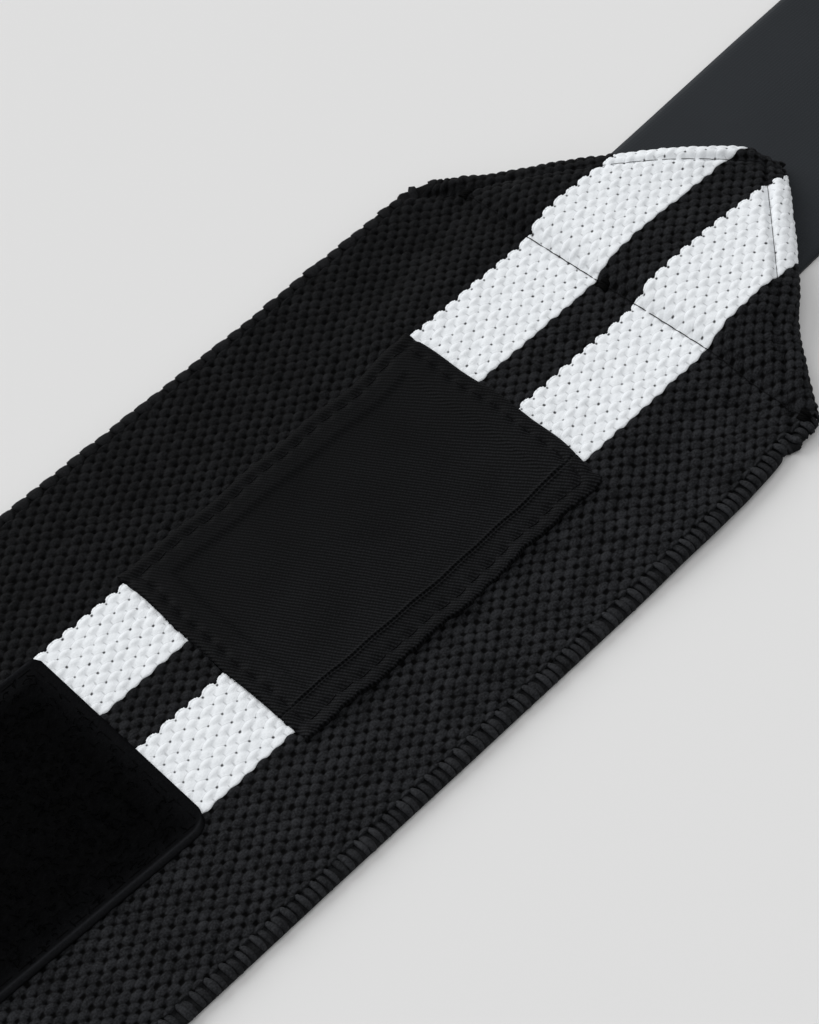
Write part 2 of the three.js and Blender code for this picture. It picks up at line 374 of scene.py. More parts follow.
class Value:
    """A number that varies over a surface, with arithmetic that adds Math nodes."""

    def __init__(self, paint: "Paint", socket: bpy.types.NodeSocket) -> None:
        """Wraps an output socket of a material's node tree."""
        self.paint = paint
        self.socket = socket

    def _math(self, operation: str, first: Any, second: Any) -> "Value":
        """Adds a Math node on two operands."""
        return self.paint.value("ShaderNodeMath", {"operation": operation}, {0: first, 1: second})

    def __add__(self, other: Any) -> "Value":
        """Sum."""
        return self._math("ADD", self, other)

    def __radd__(self, other: Any) -> "Value":
        """Sum with a number on the left."""
        return self._math("ADD", other, self)

    def __sub__(self, other: Any) -> "Value":
        """Difference."""
        return self._math("SUBTRACT", self, other)

    def __rsub__(self, other: Any) -> "Value":
        """Difference from a number on the left."""
        return self._math("SUBTRACT", other, self)

    def __mul__(self, other: Any) -> "Value":
        """Product."""
        return self._math("MULTIPLY", self, other)

    def __rmul__(self, other: Any) -> "Value":
        """Product with a number on the left."""
        return self._math("MULTIPLY", other, self)

    def __pow__(self, other: Any) -> "Value":
        """Power."""
        return self._math("POWER", self, other)

    def __rpow__(self, other: Any) -> "Value":
        """Power of a number on the left."""
        return self._math("POWER", other, self)

    def sine(self) -> "Value":
        """Sine of the value in radians."""
        return self._math("SINE", self, 0.0)

    def floor(self) -> "Value":
        """The whole number below the value."""
        return self._math("FLOOR", self, 0.0)

    def size(self) -> "Value":
        """The value without its sign."""
        return self._math("ABSOLUTE", self, 0.0)

    def climb(self, low: float, high: float) -> "Value":
        """Climbs smoothly from 0 where the value is low to 1 where it is high."""
        inputs = {"Value": self, "From Min": low, "From Max": high}
        return self.paint.value("ShaderNodeMapRange", {"interpolation_type": "SMOOTHSTEP"}, inputs)

    def clamped(self) -> "Value":
        """The value held between 0 and 1."""
        return self.paint.value("ShaderNodeClamp", {}, {"Value": self})

    def stripes(self, pitch_mm: float, shift: Any = 0.0) -> "Value":
        """Soft stripes from 0 to 1 across a coordinate in metres.

        Args:
            pitch_mm: Distance from one stripe to the next.
            shift: Moves the stripes, in radians.
        Returns:
            The stripes.
        """
        return (self * (math.tau / (pitch_mm * MM)) + shift).sine() * 0.5 + 0.5


class Paint:
    """A material's node tree, with one method that makes any node."""

    def __init__(self, name: str) -> None:
        """Makes an empty material.

        Args:
            name: The material's name.
        """
        self.material = bpy.data.materials.new(name)
        self.material.use_nodes = True
        self.tree = self.material.node_tree
        self.tree.nodes.clear()

    def node(self, kind: str, settings: dict[str, Any], inputs: dict[Any, Any]) -> bpy.types.Node:
        """Adds a node.

        Args:
            kind: The node's type.
            settings: Properties, set before the sockets.
            inputs: Numbers, colours or Values by socket name or number.
        Returns:
            The node.
        """
        node = self.tree.nodes.new(kind)
        for key, setting in settings.items():
            setattr(node, key, setting)
        for key, given in inputs.items():
            if isinstance(given, Value):
                self.tree.links.new(given.socket, node.inputs[key])
            else:
                node.inputs[key].default_value = given
        return node

    def value(self, kind: str, settings: dict[str, Any], inputs: dict[Any, Any], output: Any = 0) -> Value:
        """Adds a node and wraps one of its outputs."""
        return Value(self, self.node(kind, settings, inputs).outputs[output])

    def place(self) -> Value:
        """Place on the piece in metres."""
        return self.value("ShaderNodeTexCoord", {}, {}, "Object")

    def along(self, axis: str) -> Value:
        """One coordinate of the place on the piece."""
        return self.value("ShaderNodeSeparateXYZ", {}, {"Vector": self.place()}, axis)

    def noise(self, scale: Point | float, detail: float = 2.0, rough: float = 0.5) -> Value:
        """Soft noise from 0 to 1.

        Args:
            scale: Cycles for each metre, one number or one for each axis.
            detail: Octaves.
            rough: Share of the finer octaves.
        Returns:
            The noise.
        """
        cycles = (scale,) * 3 if isinstance(scale, float) else scale
        place = self.value("ShaderNodeVectorMath", {"operation": "MULTIPLY"}, {0: self.place(), 1: cycles})
        inputs = {"Vector": place, "Scale": 1.0, "Detail": detail, "Roughness": rough}
        return self.value("ShaderNodeTexNoise", {}, inputs, "Fac")

    def point_value(self, name: str) -> Value:
        """A point value that the mesh carries."""
        return self.value("ShaderNodeAttribute", {"attribute_name": name}, {}, "Fac")

    def mix(self, low: Any, high: Any, share: Value) -> Value:
        """Colour that goes from low to high as share goes from 0 to 1.

        Args:
            low: Colour at 0.
            high: Colour at 1.
            share: Share of the second colour.
        Returns:
            The colour.
        """
        ends = [(*c, 1.0) if isinstance(c, tuple) else c for c in (low, high)]
        inputs = {"Factor": share, 6: ends[0], 7: ends[1]}
        return self.value("ShaderNodeMix", {"data_type": "RGBA"}, inputs, 2)

    def bump(self, height: Value, distance: float) -> Value:
        """Normal bent by a height in units of distance millimetres."""
        inputs = {"Height": height, "Distance": distance * MM, "Strength": 1.0}
        return self.value("ShaderNodeBump", {}, inputs, "Normal")

    def cloth(
        self, colour: Value, roughness: Value | float, gloss: float, normal: Value | None = None,
        sheen: tuple[float, float] = (0.0, 0.5),
    ) -> bpy.types.Material:
        """Ends the tree in a Principled shader.

        Args:
            colour: Base colour.
            roughness: Roughness.
            gloss: Level of the specular reflection.
            normal: Bent normal, if there is one.
            sheen: Weight and roughness of the sheen.
        Returns:
            The material.
        """
        inputs = {"Base Color": colour, "Roughness": roughness, "Specular IOR Level": gloss}
        inputs |= {"Sheen Weight": sheen[0], "Sheen Roughness": sheen[1]}
        if normal is not None:
            inputs["Normal"] = normal
        shader = self.node("ShaderNodeBsdfPrincipled", {}, inputs)
        output = self.node("ShaderNodeOutputMaterial", {}, {})
        self.tree.links.new(shader.outputs[0], output.inputs[0])
        return self.material


# Finishes


@dataclass(frozen=True)
class PaintedGapShade:
    """Painted shade in the gaps and creases between the knots, in millimetres and shares of full dark."""

    radius: float
    blur: float
    low_share: float
    low_stretch: tuple[float, float]
    crease_share: tuple[float, float]
    crease_width: float
    ragged: float


@dataclass(frozen=True)
class YarnFinish:
    """Bulky matt elastic yarn, with painted shade in the gaps and creases between its knots, painted shade
    towards its left side where set, and painted highlights on fibre flecks.
    """

    name: str
    colour: Colour
    shade: Colour
    # Colour of the painted shade in the gaps, in the creases and towards the left side.
    pit: Colour
    roughness: float
    sheen: float
    gloss: float
    knots: "KnotShape"
    gaps: PaintedGapShade
    # Painted shade towards the band's left (+Y) side: its share, and where on Y in metres it climbs.
    left_painted_shade: float = 0.0
    left_shade_from_to: tuple[float, float] = (-0.02, 0.03)
    filament_mm: float = 0.16
    fleck_mm: float = 0.26
    fuzz_mm: float = 0.06
    sheen_roughness: float = 0.5
    # Where the fleck mix climbs: partly random tone of the yarn, partly painted highlights on its fibres.
    fleck_highlight_from_to: tuple[float, float] = (0.56, 1.02)
    ragged_cycles: Point = (700.0, 900.0, 300.0)
    patch_cycles: Point = (360.0, 480.0, 200.0)
    filament_cycles: tuple[float, float] = (500.0, 2500.0)
    crease_turn: float = 0.08

    def painted_gap_shade(self, paint: Paint, weave: "Weave") -> Value:
        """Painted shade in the gaps between the knots, and in the creases where knots meet.

        Args:
            paint: The material.
            weave: Sizes of the weave.
        Returns:
            Shares from 0 to 1.
        """
        look, knots = self.gaps, self.knots
        spot = paint.point_value("turn") - 0.5
        line = paint.point_value("end") * 0.5 - 0.75
        beside = line - (line + 0.5).floor()
        ahead = (spot - (spot + 0.5).floor()).size() * weave.along
        aside = beside.size() * (2.0 * weave.across)
        gap_ahead, gap_aside = 0.5 * weave.along - ahead, weave.across - aside
        ragged = (paint.noise(self.ragged_cycles) - 0.5) * (2.0 * look.ragged)
        high = (gap_ahead**2.0 + aside**2.0) ** 0.5 + ragged
        along, across = look.low_stretch
        low = ((ahead * along) ** 2.0 + (gap_aside * across) ** 2.0) ** 0.5 + ragged
        start, stop = look.radius - look.blur, look.radius + look.blur
        # Painted shade: dark dots in the gaps between the proud knots, fainter in the gaps of the low ends.
        gaps = (1.0 - high.climb(start, stop)) + (1.0 - low.climb(start, stop)) * look.low_share
        # Painted shade along the creases where proud and low knots meet, with its own share on each side of
        # a knot.
        proud = 1.0 - (ahead * (1.0 / knots.length)) ** 2.0 - (aside * (1.0 / knots.proud_width)) ** 2.0
        sunk = 1.0 - (gap_ahead * (1.0 / knots.length)) ** 2.0 - (gap_aside * (1.0 / knots.low_width)) ** 2.0
        step = (proud - sunk * knots.low_share**2).size()
        right, left = look.crease_share
        share = beside.climb(-self.crease_turn, self.crease_turn) * (left - right) + right
        crease = (1.0 - step.climb(0.0, look.crease_width)) * share
        # Gap shade, crease shade and the painted shade that the mesh carries, together.
        return (gaps + crease + paint.point_value("pit")).clamped()

    def material(self, weave: "Weave") -> bpy.types.Material:
        """Makes the material.

        Args:
            weave: Sizes of the weave.
        Returns:
            The material.
        """
        paint = Paint(self.name)
        lengthways, upright = self.filament_cycles
        filaments = paint.noise((lengthways, 1.0 / (self.filament_mm * MM), upright), 3.0, 0.6)
        flecks = paint.noise(1.0 / (self.fleck_mm * MM), 2.0, 0.6)
        patches = paint.noise(self.patch_cycles)
        # Partly random tone, partly painted highlights on fibre flecks.
        light = (filaments * 0.4 + flecks * 0.75 + patches * 0.4).climb(*self.fleck_highlight_from_to)
        # Painted shade: darker towards the left (+Y) side.
        left_shade = paint.along("Y").climb(*self.left_shade_from_to) * self.left_painted_shade
        tint = paint.mix(paint.mix(self.shade, self.colour, light), self.pit, left_shade)
        # Painted shade in the gaps and creases.
        colour = paint.mix(tint, self.pit, self.painted_gap_shade(paint, weave))
        roughness = (filaments * 0.2 + (self.roughness - 0.1)).clamped()
        normal = paint.bump(filaments * 0.5 + flecks, self.fuzz_mm)
        return paint.cloth(colour, roughness, self.gloss, normal, (self.sheen, self.sheen_roughness))


@dataclass(frozen=True)
class SatinFinish:
    """Fine satin of a woven label: slanting ribs broken into short floats."""

    name: str
    colour: Colour
    light: Colour
    rib_mm: float
    float_mm: float
    roughness: float
    relief_mm: float = 0.06
    # Painted shade towards the label's left (+Y) side: its share, and where on Y in metres it climbs.
    left_painted_shade: float = 0.5
    left_shade_from_to: tuple[float, float] = (-0.02, 0.015)
    rib_slant: tuple[float, float] = (0.85, 0.52)
    uneven: float = 3.0
    uneven_cycles: Point = (420.0, 420.0, 200.0)
    thread_cycles: Point = (3200.0, 3000.0, 900.0)
    patch_cycles: Point = (90.0, 120.0, 40.0)
    gloss: float = 0.04
    sheen: tuple[float, float] = (0.01, 0.4)

    def material(self) -> bpy.types.Material:
        """Makes the material.

        Returns:
            The material.
        """
        paint = Paint(self.name)
        x, y = paint.along("X"), paint.along("Y")
        uneven = paint.noise(self.uneven_cycles) * self.uneven
        cos, sin = self.rib_slant
        ribs = (x * cos + y * sin).stripes(self.rib_mm, uneven)
        floats = (x * sin - y * cos).stripes(self.float_mm, uneven)
        threads = paint.noise(self.thread_cycles, 2.0, 0.7)
        patches = paint.noise(self.patch_cycles, 3.0)
        share = (ribs * (floats * 0.35 + 0.65) * 0.9 + threads * 1.1 + patches * 0.5 - 0.95).clamped()
        # Painted shade: the label darkens towards its left (+Y) side.
        share = share * (1.0 - y.climb(*self.left_shade_from_to) * self.left_painted_shade)
        colour = paint.mix(self.colour, self.light, share)
        roughness = (threads * 0.25 + (self.roughness - 0.12)).clamped()
        normal = paint.bump(ribs * 0.7 + threads * 0.6, self.relief_mm)
        return paint.cloth(colour, roughness, self.gloss, normal, self.sheen)


@dataclass(frozen=True)
class TapeFinish:
    """Smooth, close woven nylon tape with a faint lengthways rib."""

    name: str
    colour: Colour
    light: Colour
    rib_mm: float
    roughness: float
    relief_mm: float = 0.025
    pick_share: float = 0.8
    grain_cycles: Point = (1800.0, 2600.0, 900.0)
    patch_cycles: Point = (45.0, 60.0, 45.0)
    gloss: float = 0.12
    sheen: tuple[float, float] = (0.03, 0.45)

    def material(self) -> bpy.types.Material:
        """Makes the material.

        Returns:
            The material.
        """
        paint = Paint(self.name)
        ribs = paint.along("Y").stripes(self.rib_mm)
        picks = paint.along("X").stripes(self.rib_mm * self.pick_share)
        grain = paint.noise(self.grain_cycles, 3.0, 0.6)
        patches = paint.noise(self.patch_cycles, 3.0)
        share = (ribs * picks * 0.4 + grain * 0.4 + patches * 0.6 - 0.25).clamped()
        colour = paint.mix(self.colour, self.light, share)
        roughness = (grain * 0.25 + (self.roughness - 0.12)).clamped()
        normal = paint.bump(ribs * picks + grain * 0.6, self.relief_mm)
        return paint.cloth(colour, roughness, self.gloss, normal, self.sheen)


@dataclass(frozen=True)
class PileFinish:
    """Deep, light-swallowing loop pile, with a paler woven edge."""

    name: str
    colour: Colour
    light: Colour
    edge: Colour
    clump_mm: float
    relief_mm: float = 0.25
    fibre_cycles: float = 2600.0
    roughness: float = 0.82
    gloss: float = 0.01

    def material(self) -> bpy.types.Material:
        """Makes the material.

        Returns:
            The material.
        """
        paint = Paint(self.name)
        clumps = paint.noise(1.0 / (self.clump_mm * MM), 4.0, 0.65)
        fibres = paint.noise(self.fibre_cycles, 2.0, 0.7)
        share = (clumps * 0.9 + fibres * 0.5 - 0.35).clamped()
        woven = (paint.point_value("edge") * (fibres * 0.8 + 0.6)).clamped()
        colour = paint.mix(paint.mix(self.colour, self.light, share), self.edge, woven)
        roughness = (clumps * 0.15 + self.roughness).clamped()
        normal = paint.bump(clumps + fibres * 0.5, self.relief_mm)
        return paint.cloth(colour, roughness, self.gloss, normal)


@dataclass(frozen=True)
class ThreadFinish:
    """Twisted sewing thread."""

    name: str
    colour: Colour
    light: Colour
    twist_mm: float
    roughness: float
    relief_mm: float = 0.03
    slant: tuple[float, float] = (0.6, 1.4)
    grain_cycles: float = 3000.0
    gloss: float = 0.04

    def material(self) -> bpy.types.Material:
        """Makes the material.

        Returns:
            The material.
        """
        paint = Paint(self.name)
        across, up = self.slant
        slanting = paint.along("X") + paint.along("Y") * across + paint.along("Z") * up
        twist = slanting.stripes(self.twist_mm)
        grain = paint.noise(self.grain_cycles)
        colour = paint.mix(self.colour, self.light, (twist * 0.6 + grain * 0.5 - 0.1).clamped())
        roughness = (grain * 0.2 + (self.roughness - 0.1)).clamped()
        return paint.cloth(colour, roughness, self.gloss, paint.bump(twist, self.relief_mm))


@dataclass(frozen=True)
class FloorFinish:
    """Plain pale studio floor."""

    name: str
    colour: Colour
    shade: Colour
    cloud_cycles: float = 3.0
    roughness: float = 0.9
    gloss: float = 0.1

    def material(self) -> bpy.types.Material:
        """Makes the material.

        Returns:
            The material.
        """
        paint = Paint(self.name)
        colour = paint.mix(self.colour, self.shade, paint.noise(self.cloud_cycles))
        return paint.cloth(colour, self.roughness, self.gloss)


# The strap's main form


@dataclass(frozen=True)
class StrapForm:
    """Sizes of the laid strap, and the heights of its cloth."""

    far_end: float
    tab_end: float
    band_width: float
    gap: float = 0.3
    wall: float = 1.8
    shoulder: float = 102.1
    shoulder_width: float = 75.0
    apex: tuple[float, float] = (139.6, -1.25)
    skew: float = 0.0333
    taper_length: float = 94.0
    tab_start: float = 78.5
    tab_offset: float = -0.5
    tab_turn: float = math.radians(2.5)
    tab_width: float = 36.5
    tab_top: float = 1.2
    drape_along: float = 12.0
    drape_across: float = 10.0
    seam_lift: float = 0.45
    seam_inset: float = 0.6
    seam_dent: float = 0.5
    seam_dent_width: float = 0.8
    row_inset: float = 3.3
    row_dent: float = 0.7
    row_dent_width: float = 0.62
    rise_before: float = 3.0
    rise_length: float = 8.0
    tip_height: float = 2.4
    bulge: float = 3.1
    bulge_shape: tuple[float, float] = (0.62, 1.2)
    swell: tuple[float, float] = (1.75, 0.6)
    swell_width: float = 5.0
    swell_start: float = 0.15
    least_wall: float = 0.9
    hem_length: float = 12.0
    hem_height: float = 3.4
    hem_ramp: float = 4.0
    stray_spots: tuple[float, ...] = (-60.0, -25.0, 10.0, 36.0, 62.0, 82.0, 89.0, 94.0, 99.0, 104.0)
    stray_shifts: tuple[float, ...] = (0.0, 0.42, 0.4, 0.0, -0.3, -0.48, -0.38, -0.05, 0.35, 0.0)
    stray_ramp: tuple[float, float] = (20.0, 38.0)

    @classmethod
    def from_frame(cls) -> "StrapForm":
        """Reads the strap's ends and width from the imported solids.

        Returns:
            The form.
        """
        band_low, band_high = millimetres("elastic_band")
        tab_high = millimetres("hook_tab")[1]
        width = float(band_high[1] - band_low[1])
        return cls(far_end=float(band_low[0]), tab_end=float(tab_high[0]), band_width=width)

    @property
    def seam(self) -> float:
        """Where the row of stitches crosses the middle of the band."""
        return self.shoulder + self.seam_inset

    def squared(self, x: Array, y: Array) -> Array:
        """Place along the band, counted square to the line that joins the shoulders."""
        return x + self.skew * y

    def fold_distance(self, x: Array, y: Array, side: Side) -> Array:
        """Distance inside one slanting fold of the point, negative past it."""
        return ((self.apex[0] - x) - side.value * (y - self.apex[1])) / ROOT_TWO

    def narrowing(self, x: Array) -> Array:
        """Width of the band as a share of its full width."""
        share = np.clip((x - self.shoulder + self.taper_length) / self.taper_length, 0.0, 1.0)
        return 1.0 + share * (self.shoulder_width / self.band_width - 1.0)

    def across(self, x: Array, v: Array) -> Array:
        """Place across the laid band, which narrows and whose right edge strays a little."""
        stray = np.interp(x, self.stray_spots, self.stray_shifts) * ramp(-v, *self.stray_ramp)
        return v * self.narrowing(x) + stray

    def tab_middle(self, x: Array) -> Array:
        """Where the middle line of the tab lies across the band."""
        return self.tab_offset + math.tan(self.tab_turn) * (x - self.tab_start)

    def lift(self, x: Array, y: Array) -> Array:
        """Height of the lowest layer of the band, draped over the tab.

        Args:
            x: Along the laid band.
            y: Across it.
        Returns:
            Heights above the floor.
        """
        along = ramp(x, self.tab_start - self.drape_along, self.tab_start - self.gap)
        edge = self.tab_width / 2 + self.gap
        aside = np.abs(y - self.tab_middle(x))
        return (self.tab_top + self.gap) * along * (1.0 - ramp(aside, edge, edge + self.drape_across))

    def stack(self, x: Array, y: Array) -> Array:
        """Height of the face above the lowest layer, without the seam's dent.

        Args:
            x: Along the laid band.
            y: Across it.
        Returns:
            Heights above the lowest layer.
        """
        plain = self.wall + self.seam_lift * ramp(x, self.tab_start - self.drape_along, self.tab_start)
        start = self.shoulder - self.rise_before
        along = self.squared(x, y) - start
        share = np.clip(along / (self.apex[0] - start), 0.0, 1.0)
        first, last = self.bulge_shape
        peak = first / (first + last)
        rise = share**first * (1.0 - share) ** last / (peak**first * (1.0 - peak) ** last)
        begun = ramp(along, 0.0, self.rise_length)
        hem_end = self.far_end + self.hem_length
        hem = 1.0 - ramp(x, hem_end + self.gap, hem_end + self.hem_ramp)
        level = plain + (self.tip_height - self.wall - self.seam_lift) * share
        return level + self.bulge * rise * begun + (self.hem_height - self.wall) * hem

    def fold_swell(self, x: Array, y: Array) -> Array:
        """How far the slanting folds dip near the shoulders and swell towards the tip.

        Args:
            x: Along the laid band.
            y: Across it.
        Returns:
            Heights to add.
        """
        total = np.zeros_like(x)
        for side, most in zip(Side, self.swell):
            inside = self.fold_distance(x, y, side)
            start = self.apex[0] - self.shoulder_width / 2 + side.value * self.apex[1]
            share = np.clip((x + inside / ROOT_TWO - start) / (self.apex[0] - start), 0.0, 1.0)
            wave = -np.sin(math.tau * share) * ramp(share, 0.0, self.swell_start)
            total = total + most * wave * bell(np.maximum(inside, 0.0), self.swell_width)
        return total

    def face(self, x: Array, y: Array) -> Array:
        """Height of the band's face.

        Args:
            x: Along the laid band.
            y: Across it.
        Returns:
            Heights above the floor.
        """
        dent = self.seam_dent * bell(self.squared(x, y) - self.seam, self.seam_dent_width)
        for side in Side:
            row = self.fold_distance(x, y, side) - self.row_inset
            dent = dent + self.row_dent * bell(row, self.row_dent_width)
        height = self.stack(x, y) + self.fold_swell(x, y) - dent
        return self.lift(x, y) + np.maximum(height, self.least_wall * self.wall)


@dataclass(frozen=True)
class Fold:
    """A rolled fold that turns the band's cloth under itself along a line."""

    start: tuple[float, float]
    inward: tuple[float, float]
    reach: float
    radius_ends: float
    radius_middle: float
    side: Side | None = None
    least_half: float = 0.6

    def radius(self, x: Array, inside: Array) -> Array:
        """Half the fold's reach across the floor, at the foot of each place on the fold."""
        share = np.clip((x - self.inward[0] * inside - self.start[0]) / self.reach, 0.0, 1.0)
        return self.radius_ends + (self.radius_middle - self.radius_ends) * np.sin(math.pi * share)

    def apply(self, form: StrapForm, cloth: tuple[Array, Array], place: Array) -> Array:
        """Rolls the cloth that lies near or past the line.

        Args:
            form: Gives the heights of the layers.
            cloth: Coordinates of the unfolded cloth.
            place: Places so far, in the last axis.
        Returns:
            Places with this fold made.
        """
        u, v = cloth
        inside = (u - self.start[0]) * self.inward[0] + (v - self.start[1]) * self.inward[1]
        radius = self.radius(u, inside)
        over = np.maximum(radius - inside, 0.0)
        x = u + self.inward[0] * over
        y = v + self.inward[1] * over
        top = form.face(x, y)
        arc = 0.5 * (radius + np.maximum(0.5 * (top - form.lift(x, y)), self.least_half))
        angle = np.minimum(over / arc, math.pi)
        back = np.maximum(over - math.pi * arc, 0.0) - radius * np.sin(angle)
        x = x + self.inward[0] * back
        y = y + self.inward[1] * back
        low = form.lift(x, y)
        middle, half = 0.5 * (top + low), 0.5 * (top - low)
        rolled = np.stack([x, y, middle + half * np.cos(angle)], -1)
        turned = over > 0.0
        if self.side:
            turned &= (v - form.apex[1]) * self.side.value > 0.0
        return np.where(turned[..., None], rolled, place)


@dataclass(frozen=True)
class Nudge:
    """A small sideways pull of the cloth round one spot, weaker in the layers below."""

    spot: tuple[float, float]
    shift: tuple[float, float]
    width: float
    below: float = 0.4
    layer: tuple[float, float] = (0.3, 1.3)

    def apply(self, place: Array) -> Array:
        """Pulls the places, in the last axis.

        Args:
            place: Places in the last axis.
        Returns:
            The pulled places.
        """
        share = bell(np.hypot(place[..., 0] - self.spot[0], place[..., 1] - self.spot[1]), self.width)
        share = share * (self.below + (1.0 - self.below) * ramp(place[..., 2], *self.layer))
        return place + share[..., None] * np.array([*self.shift, 0.0])


# The woven band


@dataclass(frozen=True)
class KnotShape:
    """Shape of one colour's knots: every second end stands proud of the ends between."""

    length: float
    proud_width: float
    low_width: float
    low_share: float
    relief: float


@dataclass(frozen=True)
class Weave:
    """Plain weave of bulky warp ends, seen as staggered oval knots with gaps between them."""

    along: float = 2.515
    across: float = 0.952
    slant: float = 0.035
    start: float = 0.431
    proud: float = 0.18
    sway: float = 0.14
    uneven: float = 0.08
    wave: tuple[float, float] = (0.47, 0.12)
    scallop: tuple[float, float] = (0.14, 0.8)
    scallop_shape: float = 0.7
    sway_lengths: tuple[Point, Point] = ((5.3, 8.9, 13.7), (4.1, 6.7, 17.3))
    sway_headings: tuple[tuple[float, float], ...] = ((0.7, 1.1), (1.1, -0.8))
    sunk: float = 0.8
    sunk_ramp: tuple[float, float] = (-0.06, 0.3)
    table_size: int = 61
    seed: int = 5
    draws: Array = field(init=False, repr=False)

    def __post_init__(self) -> None:
        """Draws the unevenness of the knots once."""
        rng = np.random.default_rng(self.seed)
        object.__setattr__(self, "draws", rng.normal(0.0, 1.0, (self.table_size, self.table_size)))

    def swayed(self, u: Array, ends: Array) -> tuple[Array, Array]:
        """Turns along the weave and ends across it, with the sway of real yarn.

        Args:
            u: Place along the band.
            ends: Place across it, counted in warp ends.
        Returns:
            Uneven turns and ends.
        """
        v = ends * self.across
        first, second = (
            waves(along * u + across * v, lengths, self.seed + index)
            for index, ((along, across), lengths) in enumerate(zip(self.sway_headings, self.sway_lengths), 1)
        )
        turns = self.start + (u - self.slant * v + self.sway * (first + 0.5 * second)) / self.along
        return turns, ends + 0.5 * self.sway * second / self.across

    def knots(self, turns: Array, ends: Array, shape: KnotShape) -> Array:
        """Relief of the knots above the cloth's face.

        Args:
            turns: Place along the band, counted in repeats of the weave.
            ends: Place across it, counted in warp ends.
            shape: Shape of the knots.
        Returns:
            Heights.
        """
        heights = []
        for first, middle, width, share in (
            (0.5, 0.75, shape.proud_width, 1.0), (0.0, 0.25, shape.low_width, shape.low_share),
        ):
            spot, line = turns - first, 0.5 * ends - middle
            knot, end = np.round(spot).astype(int), np.round(line).astype(int)
            ahead = (spot - knot) * self.along / shape.length
            aside = (line - end) * 2.0 * self.across / width
            draw = self.draws[knot % self.table_size, end % self.table_size]
            dome = np.sqrt(np.clip(1.0 - ahead**2 - aside**2, 0.0, 1.0))
            heights.append(dome * (share + self.uneven * draw))
        return (np.maximum(*heights) - 1.0) * shape.relief + self.proud

    def past(self, turns: Array, ends: Array, edge: int, border: Border) -> Array:
        """Distance to the left of a border between two colours.

        Args:
            turns: Place along the band, counted in repeats of the weave.
            ends: Place across it, counted in warp ends.
            edge: First warp end on the border's left.
            border: How the colours meet.
        Returns:
            Millimetres, negative on the right of the border.
        """
        spot = turns - 0.5
        share = 2.0 * np.abs(spot - np.round(spot))
        if border is Border.SCALLOP:
            bow = self.scallop[0] + self.scallop[1] * (1.0 - share * share) ** self.scallop_shape
        else:
            bow = self.wave[0] + self.wave[1] * np.cos(math.pi * share)
        return (ends - edge + 0.5) * self.across - bow


@dataclass(frozen=True)
class WarpGroup:
    """Neighbouring warp ends of one colour, made as one piece."""

    name: str
    warp: Warp
    ends: range
    right_border: Border | None
    left_border: Border | None


@dataclass(frozen=True)
class EdgeLoops:
    """How the weft loops bind one long edge: how many to a repeat of the weave, and their shape."""

    count: int
    radius: float
    flat: float
    sink: float
    reach: float
    at_fold: float


